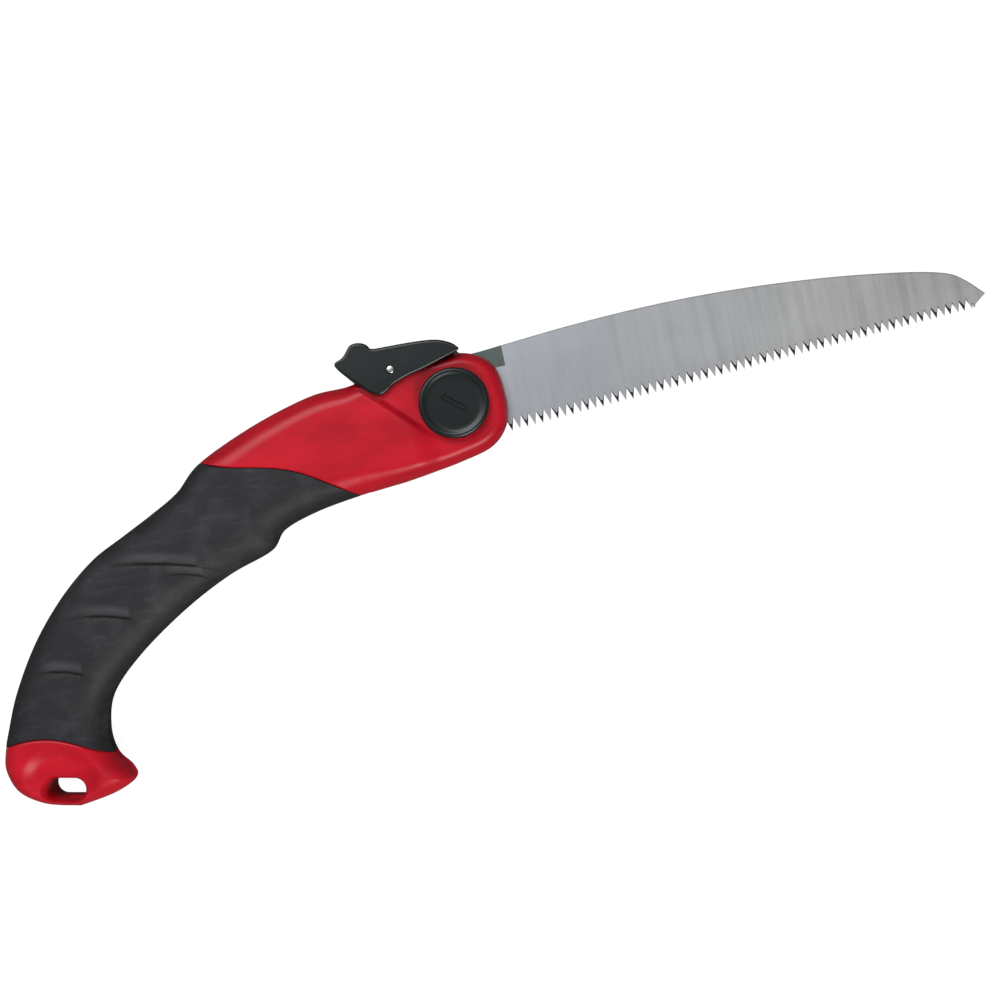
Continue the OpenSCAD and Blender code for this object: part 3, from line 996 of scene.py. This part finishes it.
@dataclass
class Crease:
    """A moulded crease in the rubber, with a ledge that fades out below it."""

    fold: tuple[Point, Point]
    depth: float
    ledge: float
    width: float = 0.5
    fade: float = 7.0

    def lift(self, p: Array) -> Array:
        """Return how far the crease lifts the surface at flat points."""
        a = np.array(self.fold[0])
        run = np.array(self.fold[1]) - a
        length = np.linalg.norm(run)
        along = ((p - a) @ run) / length**2
        side = ((p - a) @ np.array([run[1], -run[0]])) / length
        side = side + 4 * FOLD_BOW * along * (1 - along) * (abs(along - 0.5) < 1)
        ends = soft_step(along / 0.45) * soft_step((1.03 - along) / 0.09)
        reach = soft_step((along + 0.25) / 0.6) * soft_step((1.3 - along) / 0.4)
        groove = self.depth * np.exp(-((side / self.width) ** 2)) * ends
        below = np.clip(side, 0, None)
        ledge = self.ledge * soft_step(side / 0.6) * np.exp(-below / self.fade) * reach
        return -groove - ledge


@dataclass
class Swell:
    """A low rounded ridge in the rubber."""

    start: Point = (-134, -29)
    run: Point = (38, -6.5)
    height: float = 0.4
    width: float = 4.5

    def lift(self, p: Array) -> Array:
        """Return how far the swell lifts the surface at flat points."""
        run = np.array(self.run)
        along = ((p - np.array(self.start)) @ run) / (run @ run)
        side = ((p - np.array(self.start)) @ np.array([run[1], -run[0]])) / np.linalg.norm(run)
        reach = soft_step((along + 0.2) / 0.5) * soft_step((1.25 - along) / 0.5)
        return self.height * np.exp(-((side / self.width) ** 2)) * reach


@dataclass
class Handle:
    """Both shells and both grips."""

    form: HandleForm = field(default_factory=HandleForm)
    rubber_t: float = 2.4
    core_gap: float = 0.1
    slot_h: float = 1.5
    fold_angle: float = 153.0
    blade_reach: float = 222.0
    knob_well_r: float = 15.2
    recess_low: float = 10.05
    latch_at: Point = (-22.2, 18.4)
    screws: tuple[Point, ...] = ((-51, 5.5), (-89.5, -1), (-150, -37), (-194, -80), (-201.2, -112))
    screw_bore_r: float = 3.1
    lanyard_at: Point = (-185.8, -120)
    lanyard_size: Point = (16.4, 9)
    lanyard_turn: float = -12.0
    columns: int = 116
    folds: tuple[Crease | Swell, ...] = (
        Crease(FOLDS[0], 1.3, 0.7),
        Crease(FOLDS[1], 0.35, 0.25, 0.5, 3.0),
        Crease(FOLDS[2], 1.3, 0.75),
        Crease(FOLDS[3], 1.2, 0.7),
        Swell(),
    )

    def shares(self) -> Array:
        """Return shares across the handle, closer together at its edges."""
        return (1 - np.cos(np.linspace(0, np.pi, self.columns + 1))) / 2

    def slot_tool(self) -> bmesh.types.BMesh:
        """Return the room that the folding blade sweeps."""
        clear = 2.5
        end_x = self.blade_reach + clear
        corners = np.array([[19, -15.3], [216.7, -5.2 - clear], [end_x, -5.2], [end_x, 60]])
        swung = turned(corners, -self.fold_angle)
        outline = [(-28, 40), (-28, swung[0, 1] + 1), *swung[1:], (60, -150), (60, 40)]
        return slab(outline, -1, self.slot_h)

    def lanyard_tool(self) -> bmesh.types.BMesh:
        """Return the lanyard slot, flared where it meets the dish."""
        levels = [(-1, 0), (7.4, 0), (8.2, 0.12), (9.0, 0.45), (10.0, 1.2), (16, 3)]
        at = np.array(self.lanyard_at)
        rings = []
        for z, spare in levels:
            outline = turned(stadium(*self.lanyard_size, spare), self.lanyard_turn) + at
            rings.append(level(outline, z))
        return loft(rings)

    def latch_recess(self) -> bmesh.types.BMesh:
        """Return the room for the cheeks of the latch."""
        corners = [
            (-45.5, 30), (-45.5, 21.5), (-40.5, 15.8), (-33.5, 9.6), (-29.5, 6.6), (-24, 7.8),
            (-14, 12.3), (8, 18), (10, 30),
        ]  # fmt: skip
        return slab(corners, self.recess_low, 16)

    def screw_bore(self, at: Point) -> bmesh.types.BMesh:
        """Return the bore of one shell screw, flared at its mouth."""
        bore = [(0, 2.4), (self.screw_bore_r, 2.4), (self.screw_bore_r, 12.1)]
        return lathe(bore + [(self.screw_bore_r + 0.8, 13.4), (0, 13.4)], 40, at)

    def shell_tools(self, side: Side) -> list[bmesh.types.BMesh]:
        """Return everything that is cut from one shell."""
        form = self.form
        well = [(0, form.boss_h), (self.knob_well_r, form.boss_h), (self.knob_well_r, 11.6)]
        well += [(self.knob_well_r + 0.35, 12.5), (self.knob_well_r + 1.3, 13.4), (0, 13.4)]
        u = np.arange(6.6, 16.3, 0.3)
        front = form.place(u, 9.5, np.zeros_like(u))
        rear = form.place(u, 9.5, np.ones_like(u))
        room = np.concatenate([front, rear[::-1]])
        spring = rod((0, 0), 3.0, 0, 20, 32)
        bmesh.ops.rotate(spring, verts=spring.verts, matrix=Matrix.Rotation(-math.pi / 2, 3, "X"))
        bmesh.ops.translate(spring, verts=spring.verts, vec=(-36, 8, 0))
        tools = [
            self.slot_tool(),
            slab(room, -1, 6.8),
            lathe(well, 128),
            rod((0, 0), 4.05, -1, 15),
            rod(self.latch_at, 1.8, -1, 15),
            self.latch_recess(),
            self.lanyard_tool(),
            spring,
        ]
        if side is Side.LEFT:
            tools += [self.screw_bore(at) for at in self.screws]
        return tools

    def stand(self, bm: bmesh.types.BMesh, side: Side) -> bmesh.types.BMesh:
        """Turn a mesh measured from the middle plane to its side, and put it at its height."""
        bmesh.ops.scale(bm, vec=(1, 1, side.value), verts=bm.verts)
        bmesh.ops.translate(bm, vec=(0, 0, MID_Z), verts=bm.verts)
        bmesh.ops.recalc_face_normals(bm, faces=bm.faces)
        return bm

    def shell_points(self) -> Array:
        """Return the surface of one shell: bare at both ends, and set in under the rubber."""
        form = self.form
        core = self.rubber_t + self.core_gap
        rows = Rows(form, self.shares())
        r = 1.0
        rows.add(form.first, 0, 0)
        rows.run_to(form.grip_front, -r - 0.1, 0, 165)
        rows.lip(form.grip_front, -0.1, r, 1, True)
        rows.add(form.grip_front, -0.06, core)
        rows.run_to(form.grip_rear, 0.06, core, 45)
        rows.lip(form.grip_rear, 0.1, r, -1, False)
        rows.run_to(form.last, 0, 0, 105)
        return rows.points(core)

    def grip_points(self) -> tuple[Array, Array]:
        """Return the outer and the inner surface of one grip."""
        form = self.form
        low = self.rubber_t
        rows = Rows(form, self.shares())
        r = 0.6
        rows.add(form.grip_front, 0.1, low)
        rows.lip(form.grip_front, 0.08, r, -1, False)
        rows.run_to(form.grip_rear, -r - 0.08, 0, 330)
        rows.lip(form.grip_rear, -0.08, r, 1, True)
        rows.add(form.grip_rear, -0.1, low)
        outer = rows.points(low)
        under = Rows(form, self.shares())
        under.add(form.grip_front, 0.1, low)
        under.run_to(form.grip_rear, -0.1, low, len(rows.stations) - 1)
        return self.crease(outer), under.points(low)

    def crease(self, points: Array) -> Array:
        """Return the rubber's surface with its creases and its swell pressed in."""
        flat = points[..., :2]
        normal = np.cross(np.gradient(points, axis=0), np.gradient(points, axis=1))
        normal = normal / np.maximum(np.linalg.norm(normal, axis=-1, keepdims=True), 1e-9)
        normal = normal * np.sign(normal[..., 2:3] + 1e-9)
        lift = sum(fold.lift(flat) for fold in self.folds)
        inside = soft_step((points[..., 2] - 0.5) / 3)
        shifted = points + normal * (lift * inside)[..., None]
        shifted[..., 2] = np.maximum(shifted[..., 2], self.form.parting)
        return shifted

    def shell(self, side: Side, points: Array) -> bpy.types.Object:
        """Build one shell with its cuts.

        Args:
            side: Half of the handle.
            points: Its surface.

        Returns:
            The shell.
        """
        name = f"{side.name.lower()}_shell"
        bm = grid(points)
        for edge in open_edges(bm):
            for vert in edge.verts:
                vert.co.z = self.form.parting
        bmesh.ops.holes_fill(bm, edges=open_edges(bm), sides=0)
        obj = make(name + "_form", self.stand(bm, side), [RED])
        combine(obj, [self.stand(tool, side) for tool in self.shell_tools(side)])
        smooth_over(obj, 34)
        return settle(obj, Body.HANDLE, Slot.RED, name)

    def grip(self, side: Side, outer: Array, inner: Array) -> bpy.types.Object:
        """Build one grip.

        Args:
            side: Half of the handle.
            outer: Its outer surface.
            inner: Its surface against the shell.

        Returns:
            The grip.
        """
        name = f"{side.name.lower()}_grip"
        bm = grid(outer)
        grid(inner, bm)
        bmesh.ops.bridge_loops(bm, edges=open_edges(bm))
        obj = make(name + "_rubber", self.stand(bm, side), [RUBBER])
        tools = [self.slot_tool()]
        if side is Side.LEFT:
            tools += [self.screw_bore(at) for at in self.screws[2:4]]
        combine(obj, [self.stand(tool, side) for tool in tools])
        smooth_over(obj, 50)
        return settle(obj, Body.HANDLE, Slot.RUBBER, name)

    def build(self) -> None:
        """Build the shells, the grips and the screws."""
        shell = self.shell_points()
        outer, inner = self.grip_points()
        for side in Side:
            self.shell(side, shell)
            self.grip(side, outer, inner)
        self.screws_piece()

    def screws_piece(self) -> bpy.types.Object:
        """Build the shell screws, which have domed heads with a hexagon socket."""
        head = [(0, -5), (1.25, -5), (1.25, 5), (2.8, 5), (2.8, 6.4), (2.5, 7.0), (1.9, 7.3), (0, 7.4)]
        joined = bmesh.new()
        for at in self.screws:
            screw = make("screw_tool", lathe(head, 40, at))
            corners = [k * math.pi / 3 for k in range(6)]
            socket = [(1.5 * math.cos(a) + at[0], 1.5 * math.sin(a) + at[1]) for a in corners]
            combine(screw, [slab(socket, 5.9, 9)])
            screw.data.transform(Matrix.Diagonal((1, 1, -1, 1)) @ Matrix.Translation((0, 0, -MID_Z * MM)))
            joined.from_mesh(screw.data)
            bpy.data.objects.remove(screw)
        bmesh.ops.recalc_face_normals(joined, faces=joined.faces)
        bmesh.ops.scale(joined, vec=(1 / MM,) * 3, verts=joined.verts)
        obj = make("screws", joined, [ZINC])
        smooth_over(obj, 30)
        return settle(obj, Body.HANDLE, Slot.ZINC, "shell_screws")


# ------------------------------------------------------------------------------- blade
@dataclass
class Blade:
    """The saw blade, with teeth ground to a bevel on one face and on the other by turns."""

    teeth: int = 64
    tooth_start: Point = (19, -15.3)
    tooth_end: Point = (216.7, -5.2)
    tooth_heights: Point = (5.4, 4.6)
    lean: float = 0.12
    taper: float = 0.1
    half_t: float = 0.6
    root_half_t: float = 0.7
    grind_x: float = 23.5
    grind_step: float = 4.7
    grind_step_y: float = 11.6
    tang_r: float = 18.5
    bush_r: float = 6.5
    fold_angle: float = 153.0
    spine: tuple[Point, ...] = (
        (14.6, 19.3), (52.9, 22.2), (90, 23.4), (125, 22.5), (160, 19.6), (190, 15.4),
        (207, 11.6), (214.5, 7.4), (222, 0),
    )  # fmt: skip

    def share(self, i: Array) -> Array:
        """Return how far along the tooth line a tooth starts, as teeth grow towards the tip."""
        x = i / self.teeth
        return x * (1 + self.taper / 2 * (1 - x))

    def line(self, x: Array) -> Array:
        """Return points of the line through the tips of the teeth."""
        a = np.array(self.tooth_start)
        return a + x[:, None] * (np.array(self.tooth_end) - a)

    def spine_points(self) -> Array:
        """Return closely spaced points of the blade's back."""
        return spline(np.array(self.spine), np.linspace(0, len(self.spine) - 1, 900))

    def face_rows(self, upper: bool) -> Array:
        """Return the points of one face, from the edge of the teeth to the back.

        Args:
            upper: True for the face on the knob side.

        Returns:
            The points, by row and by column, four columns to a tooth.
        """
        i = np.arange(self.teeth)
        a, b = self.share(i), self.share(i + 1)
        c = a + (b - a) * (0.5 + self.lean)
        high = self.tooth_heights[0] + a * (self.tooth_heights[1] - self.tooth_heights[0])
        up = np.array([0.0, 1.0])
        gullet = self.line(a) + high[:, None] * up
        tip = self.line(c)
        next_high = self.tooth_heights[0] + b * (self.tooth_heights[1] - self.tooth_heights[0])
        after = self.line(b) + next_high[:, None] * up
        rise_mid, fall_mid = (gullet + tip) / 2, (tip + after) / 2
        edge = np.stack([gullet, rise_mid, tip, fall_mid], 1).reshape(-1, 2)
        last = np.array([[self.tooth_end[0], self.tooth_end[1] + 0.1 * self.tooth_heights[1]]])
        edge = np.concatenate([edge, last])
        inward = np.stack(
            [
                gullet + 0.25 * up,
                rise_mid + [0.42, 0.3],
                tip + (0.5 * high)[:, None] * up,
                fall_mid + [-0.42, 0.3],
            ],
            1,
        ).reshape(-1, 2)
        inward = np.concatenate([inward, last + [0.2, 0.5]])
        base = edge.copy()
        heights = np.repeat(high, 4)
        base[:-1, 1] = self.line(np.repeat(a, 4))[:, 1] + heights + 0.8
        base[-1] = last[0] + [0.6, 1.2]
        back = self.spine_points()
        x = np.interp(edge[:, 0], [edge[0, 0], edge[-1, 0]], [edge[0, 0], self.spine[-1][0]])
        top = np.stack([x, np.interp(x, back[:, 0], back[:, 1])], 1)
        middle = [base + (top - base) * f for f in (0.12, 0.5, 0.9)]
        chamfer = top + (base - top) * (0.45 / np.linalg.norm(base - top, axis=1))[:, None]
        rows = np.stack([edge, inward, base, *middle, chamfer, top])
        z = np.full(rows.shape[:2], self.half_t)
        mine = (i % 2 == 0) if upper else (i % 2 == 1)
        ground = np.where(mine[:, None], np.array([0.0, 0.95, 1.08, 0.95]), 0.0).reshape(-1)
        z[0, :-1] -= ground
        z[-1] -= 0.28
        z = z if upper else -z
        return np.concatenate([rows, z[..., None]], -1)

    def ground_part(self) -> bmesh.types.BMesh:
        """Return the ground part of the blade as a closed mesh. Bevels have material 2, whose dark colour is
        painted shade.
        """
        bm = bmesh.new()
        for upper in (True, False):
            old = set(bm.faces)
            points = self.face_rows(upper)
            grid(points, bm)
            for face in set(bm.faces) - old:
                low = min(v.co.z if upper else -v.co.z for v in face.verts)
                centre = face.calc_center_median()
                if low < 0.3 and centre.y < 8:
                    # Material 2 paints the bevels dark: painted shade.
                    face.material_index = 2
        bmesh.ops.bridge_loops(bm, edges=open_edges(bm))
        bmesh.ops.recalc_face_normals(bm, faces=bm.faces)
        return bm

    def root_plate(self) -> bmesh.types.BMesh:
        """Return the unground root, up to the step where the grinding starts."""
        back = self.spine_points()
        x0, x1 = self.grind_x - self.grind_step, self.grind_x
        top = [tuple(p) for p in back[back[:, 0] < x1]]
        top.append((x1, float(np.interp(x1, back[:, 0], back[:, 1]))))
        outline = [(0, 0), (5.4, 13.2), (5.4, 19), *top, (x1, self.grind_step_y), (x0, self.grind_step_y)]
        outline += [(x0, self.tooth_start[1] + 6.0), (12, -8)]
        bm = slab(outline, -self.root_half_t, self.root_half_t)
        for face in bm.faces:
            face.material_index = 1
        return bm

    def tang(self) -> bmesh.types.BMesh:
        """Return the round tang."""
        bm = rod((0, 0), self.tang_r, -self.root_half_t, self.root_half_t, 128)
        for face in bm.faces:
            face.material_index = 1
        return bm

    def stop_slot(self) -> bmesh.types.BMesh:
        """Return the curved slot that the stop pin runs in."""
        bm = bmesh.new()
        corners = [(9.75, -2), (14.25, -2), (14.25, 2), (9.75, 2)]
        face = bm.faces.new([bm.verts.new((r, 0, z)) for r, z in corners])
        swing = 174.0
        bmesh.ops.spin(
            bm, geom=[face, *face.edges, *face.verts], cent=(0, 0, 0), axis=(0, 0, 1),
            angle=math.radians(swing), steps=60,
        )  # fmt: skip
        bmesh.ops.rotate(bm, verts=bm.verts, matrix=Matrix.Rotation(math.radians(-110.8), 3, "Z"))
        bmesh.ops.recalc_face_normals(bm, faces=bm.faces)
        return bm

    def build(self) -> bpy.types.Object:
        """Build the blade."""
        finishes = [BLADE_STEEL, ROOT_STEEL, SHADED_BEVEL_STEEL]
        obj = make("saw_blade", self.ground_part(), finishes)
        combine(obj, [self.root_plate(), self.tang()], cut=False)
        notches = []
        for angle in (0.0, self.fold_angle):
            notch = slab([(0.8, 16.2), (5.4, 16.2), (5.4, 40), (0.8, 40)], -2, 2)
            bmesh.ops.rotate(notch, verts=notch.verts, matrix=Matrix.Rotation(math.radians(angle), 3, "Z"))
            notches.append(notch)
        combine(obj, [rod((0, 0), self.bush_r, -2, 2), self.stop_slot(), *notches])
        raise_to_middle(obj)
        smooth_over(obj, 20)
        return settle(obj, Body.BLADE, Slot.SAW_STEEL, "blade")


# ------------------------------------------------------------------------------- pivot
@dataclass
class Pivot:
    """The tension knob and the cover over the nut."""

    r: float = 14.2
    knob_low: float = 23.3
    knob_top: float = 27.5
    cover_top: float = 2.95

    def knob(self) -> bpy.types.Object:
        """Build the knob: a disc with a soft raised rim and a coin slot."""
        r, top = self.r, self.knob_top
        arc = np.linspace(0, math.pi / 2, 8)
        rim = [(r - 1.2 * (1 - math.cos(t)), top - 1.2 * (1 - math.sin(t))) for t in arc]
        profile = [(0, self.knob_low), (r - 0.8, self.knob_low), (r - 0.2, self.knob_low + 0.2)]
        profile += [(r, self.knob_low + 0.8), *rim, (r - 1.7, top - 0.06), (r - 2.2, top - 0.25)]
        profile += [(r - 2.7, top - 0.48), (r - 3.2, top - 0.58), (r - 4.5, top - 0.6), (0, top - 0.5)]
        obj = make("knob", lathe(profile, 144), [BLACK])
        flare = [(0.0, -1.3), (0.0, -0.85), (0.2, -0.55), (0.8, 0.6)]
        slot = loft([level(turned(stadium(11, 1.7, spare, 8), -40), top + z) for spare, z in flare])
        under = [(0, 23), (9.8, 23), (9.8, 23.92), (8.02, 23.92), (8.02, 25.92), (0, 25.92)]
        combine(obj, [slot, lathe(under, 64)])
        smooth_over(obj, 40)
        return settle(obj, Body.KNOB, Slot.BLACK, "tension_knob")

    def cover(self) -> bpy.types.Object:
        """Build the nut cover, with a flat outer face and a soft edge."""
        r = self.r
        profile = [(0, 0), (r - 3.2, 0), (r - 1.8, 0.02), (r - 1.0, 0.2), (r - 0.4, 0.55), (r - 0.05, 1.1)]
        profile += [(r, 1.7), (r, self.cover_top), (0, self.cover_top)]
        obj = make("cover", lathe(profile, 144), [BLACK])
        ring = lathe([(9.2, -1), (9.8, -1), (9.8, 0.35), (9.2, 0.35), (9.2, -1)], 96)
        combine(obj, [ring])
        smooth_over(obj, 40)
        return settle(obj, Body.HANDLE, Slot.BLACK, "nut_cover")

    def build(self) -> None:
        """Build both pieces."""
        self.knob()
        self.cover()


# ------------------------------------------------------------------------------- latch
@dataclass
class Latch:
    """The thumb latch, its pin and its spring."""

    at: Point = (-22.2, 18.4)
    outer: float = 12.8
    cheek_t: float = 2.6
    rim_r: float = 1.1
    outline: tuple[Point, ...] = (
        (-43.8, 24.8), (-40.6, 26.7), (-38.9, 28.2), (-36.6, 30.9), (-34.2, 31.6), (-31.6, 31.2),
        (-29.5, 29.9), (-28, 28.1), (-22.6, 27.8), (-14.7, 27.6), (-6.4, 27.1), (-0.8, 26.1),
        (3.4, 24.2), (5.5, 22.3), (5.1, 20.3), (-8.8, 16.1), (-15.4, 14.6), (-21.7, 12.5),
        (-24.6, 10.6), (-27.8, 9.2), (-31.3, 10.4), (-34.5, 13.2), (-41.4, 20.5),
    )  # fmt: skip

    def contour(self, steps: int = 4) -> Array:
        """Return the smooth outline of a cheek."""
        ring = np.array(self.outline)
        n = len(ring)
        padded = np.concatenate([ring[-2:], ring, ring[:3]])
        return spline(padded, np.arange(n * steps) / steps + 2)

    def rim(self) -> tuple[Array, Array]:
        """Return the outline of a cheek, and how far its rim rounds in at each point."""
        ring = self.contour()
        run = np.roll(ring, -1, 0) - np.roll(ring, 1, 0)
        inward = np.stack([run[:, 1], -run[:, 0]], 1) / np.linalg.norm(run, axis=1)[:, None]
        room = np.zeros(len(ring))
        for reach in np.linspace(0.1, self.rim_r, 11):
            clear = gap_to_loop(ring + reach * inward, ring) > 0.98 * reach
            room = np.where(clear, reach, room)
        for _ in range(4):
            room = np.minimum(room, (np.roll(room, 1) + np.roll(room, -1)) / 2)
        return ring, inward * room[:, None]

    def cheek(self) -> bmesh.types.BMesh:
        """Return one cheek, with a rounded rim."""
        ring, inward = self.rim()
        room = np.linalg.norm(inward, axis=1)
        rings = [level(ring, self.outer - self.cheek_t)]
        for angle in np.linspace(0, math.pi / 2, 7):
            height = self.outer - room * (1 - math.sin(angle))
            rings.append(level(ring + inward * (1 - math.cos(angle)), height))
        return loft(rings)

    def bridge(self) -> bmesh.types.BMesh:
        """Return the roof that joins the cheeks along the top."""
        line = self.contour()
        start = int(np.argmin(np.linalg.norm(line - np.array([-43.8, 24.8]), axis=1)))
        end = int(np.argmin(np.linalg.norm(line - np.array([4.2, 23.7]), axis=1)))
        upper = [tuple(p) for p in line[start : end + 1]]
        under = [(3.2, 23.4), (-10, 24), (-30, 24), (-42, 23.2)]
        return slab(upper + under, self.rim_r - self.outer, self.outer - self.rim_r)

    def ridges(self) -> list[bmesh.types.BMesh]:
        """Return the ridges across the thumb pad."""
        places = [(-42, 25.2), (-39.7, 26.6), (-37.8, 28.5), (-36, 30.35), (-33.9, 30.95), (-31.5, 30.4)]
        half = self.outer - self.rim_r
        profile = [(0, -half), (0.5, -half), (0.75, -half + 0.3), (0.75, half - 0.3), (0.5, half), (0, half)]
        return [lathe(profile, 16, at) for at in places]

    def lever(self) -> bpy.types.Object:
        """Build the lever."""
        upper = self.cheek()
        lower = self.cheek()
        bmesh.ops.scale(lower, vec=(1, 1, -1), verts=lower.verts)
        bmesh.ops.recalc_face_normals(lower, faces=lower.faces)
        obj = make("latch_body", upper, [BLACK])
        combine(obj, [lower, self.bridge(), *self.ridges()], cut=False)
        combine(obj, [rod(self.at, 1.8, -20, 20)])
        raise_to_middle(obj)
        smooth_over(obj, 32)
        return settle(obj, Body.LATCH, Slot.BLACK, "latch_lever")

    def pin(self) -> bpy.types.Object:
        """Build the pin, with domed ends."""
        end = self.outer - 0.15
        half = [(1.75, end - 0.5), (1.6, end - 0.22), (1.25, end - 0.05), (0.7, end + 0.02), (0, end + 0.05)]
        profile = [(r, -z) for r, z in half[::-1]] + half
        obj = make("latch_pivot", lathe(profile, 48, self.at), [ZINC])
        raise_to_middle(obj)
        smooth_over(obj, 50)
        return settle(obj, Body.HANDLE, Slot.ZINC, "latch_pin")

    def spring(self) -> bpy.types.Object:
        """Build the coil spring under the thumb pad, and give it a mesh of its own."""
        bm = bmesh.new()
        made = bmesh.ops.create_circle(bm, cap_ends=True, radius=0.45, segments=10)
        turns, steps, low, high = 6, 144, 8.55, 22.55
        bmesh.ops.translate(bm, verts=made["verts"], vec=(2.4, 0, 0))
        bmesh.ops.spin(
            bm, geom=bm.verts[:] + bm.edges[:] + bm.faces[:], cent=(0, 0, 0), axis=(0, 1, 0),
            dvec=(0, (high - low) / steps, 0), angle=math.tau * turns, steps=steps,
        )  # fmt: skip
        bmesh.ops.translate(bm, verts=bm.verts, vec=(-36, low, MID_Z))
        bmesh.ops.recalc_face_normals(bm, faces=bm.faces)
        obj = make("latch_coil", bm, [SPRING])
        smooth_over(obj, 50)
        settle(obj, Body.HANDLE, Slot.ZINC, "latch_spring")
        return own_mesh(obj)

    def build(self) -> None:
        """Build the lever, the pin and the spring."""
        self.lever()
        self.pin()
        self.spring()


# ------------------------------------------------------------------------------- hidden pieces
@dataclass(frozen=True)
class InnerPieces:
    """CAD pieces inside the saw that keep their shape and get a finish."""

    finishes: tuple[tuple[str, Finish], ...] = (
        ("right_liner", ZINC),
        ("left_liner", ZINC),
        ("pivot_bush", BRONZE),
        ("right_thrust_washer", ACETAL),
        ("left_thrust_washer", ACETAL),
        ("pivot_bolt", ZINC),
        ("spring_washer", SPRING),
        ("pivot_nut", ZINC),
        ("stop_pin", ZINC),
        ("latch_pawl", ROOT_STEEL),
    )

    def dress(self) -> None:
        """Give each piece its material."""
        for node, finish in self.finishes:
            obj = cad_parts[node]
            obj.data.materials.clear()
            obj.data.materials.append(WARDROBE.take(finish))
            LOG.info("%s: %s", node, finish.name)


# ------------------------------------------------------------------------------- studio
@dataclass
class Studio:
    """The floor, the soft lights and the camera."""

    camera_at: tuple[float, float, float] = (0.0100, -0.0419, 0.558)
    roll: float = -11.93
    lens: float = 47.85

    def floor(self) -> None:
        """Lay a plain pale floor, which is bright to the eye and a soft grey to the saw."""
        bm = bmesh.new()
        bmesh.ops.create_grid(bm, x_segments=1, y_segments=1, size=60000)
        bmesh.ops.translate(bm, verts=bm.verts, vec=(0, 0, -0.6))
        obj = make("floor", bm)
        book = NodeBook("pale_floor")
        paper = book.noise(book.places(), 0.02, 3)
        seen = book.node("ShaderNodeLightPath", output="Is Camera Ray")
        book.dress(
            Base_Color=book.mix(paper, (0.12, 0.12, 0.12), (0.13, 0.13, 0.13)),
            Roughness=0.9,
            Emission_Color=book.mix(seen, (0, 0, 0), (1, 1, 1)),
            Emission_Strength=0.95,
            Specular_IOR_Level=0.0,
        )
        obj.data.materials.append(book.material)

    def walls(self) -> None:
        """Surround the saw with a dim light that the eye sees as white."""
        world = bpy.data.worlds.new("studio")
        world.use_nodes = True
        tree = world.node_tree
        seen = tree.nodes.new("ShaderNodeLightPath")
        tint = tree.nodes.new("ShaderNodeMix")
        tint.data_type = "RGBA"
        tint.inputs[6].default_value = (0.162, 0.165, 0.17, 1)
        tint.inputs[7].default_value = (1, 1, 1, 1)
        tree.links.new(seen.outputs["Is Camera Ray"], tint.inputs[0])
        tree.links.new(tint.outputs[2], tree.nodes["Background"].inputs["Color"])
        bpy.context.scene.world = world

    def light(self, name: str, at: Sequence[float], size: float, power: float, tint: Sequence[float]) -> None:
        """Add a square soft light that faces the saw."""
        data = bpy.data.lights.new(name, "AREA")
        data.shape = "SQUARE"
        data.size = size
        data.energy = power
        data.color = tint
        obj = bpy.data.objects.new(name, data)
        obj.location = at
        aim = Vector((0.0, -0.03, 0.01)) - Vector(at)
        obj.rotation_euler = aim.to_track_quat("-Z", "Y").to_euler()
        bpy.context.scene.collection.objects.link(obj)

    def build(self) -> None:
        """Set up the floor, the lights, the world and the camera."""
        self.floor()
        self.light("key", (0.25, -1.0, 0.8), 0.7, 14.0, (1, 0.99, 0.97))
        self.light("top", (-0.3, 0.85, 1.25), 0.9, 15.0, (0.97, 0.98, 1))
        self.light("rear", (-0.9, 0.6, 0.7), 0.5, 2.0, (0.95, 0.97, 1))
        self.walls()
        bpy.context.scene.view_settings.view_transform = "Standard"
        data = bpy.data.cameras.new("camera")
        data.lens = self.lens
        data.sensor_width = 36
        camera = bpy.data.objects.new("camera", data)
        camera.location = self.camera_at
        camera.rotation_euler = (0, 0, math.radians(self.roll))
        bpy.context.scene.collection.objects.link(camera)
        bpy.context.scene.camera = camera


def main() -> None:
    """Build the saw and its studio."""
    logging.basicConfig(level=logging.INFO, format="%(name)s: %(message)s")
    Handle().build()
    Blade().build()
    Pivot().build()
    Latch().build()
    InnerPieces().dress()
    Studio().build()


if __name__ == "__main__":
    main()
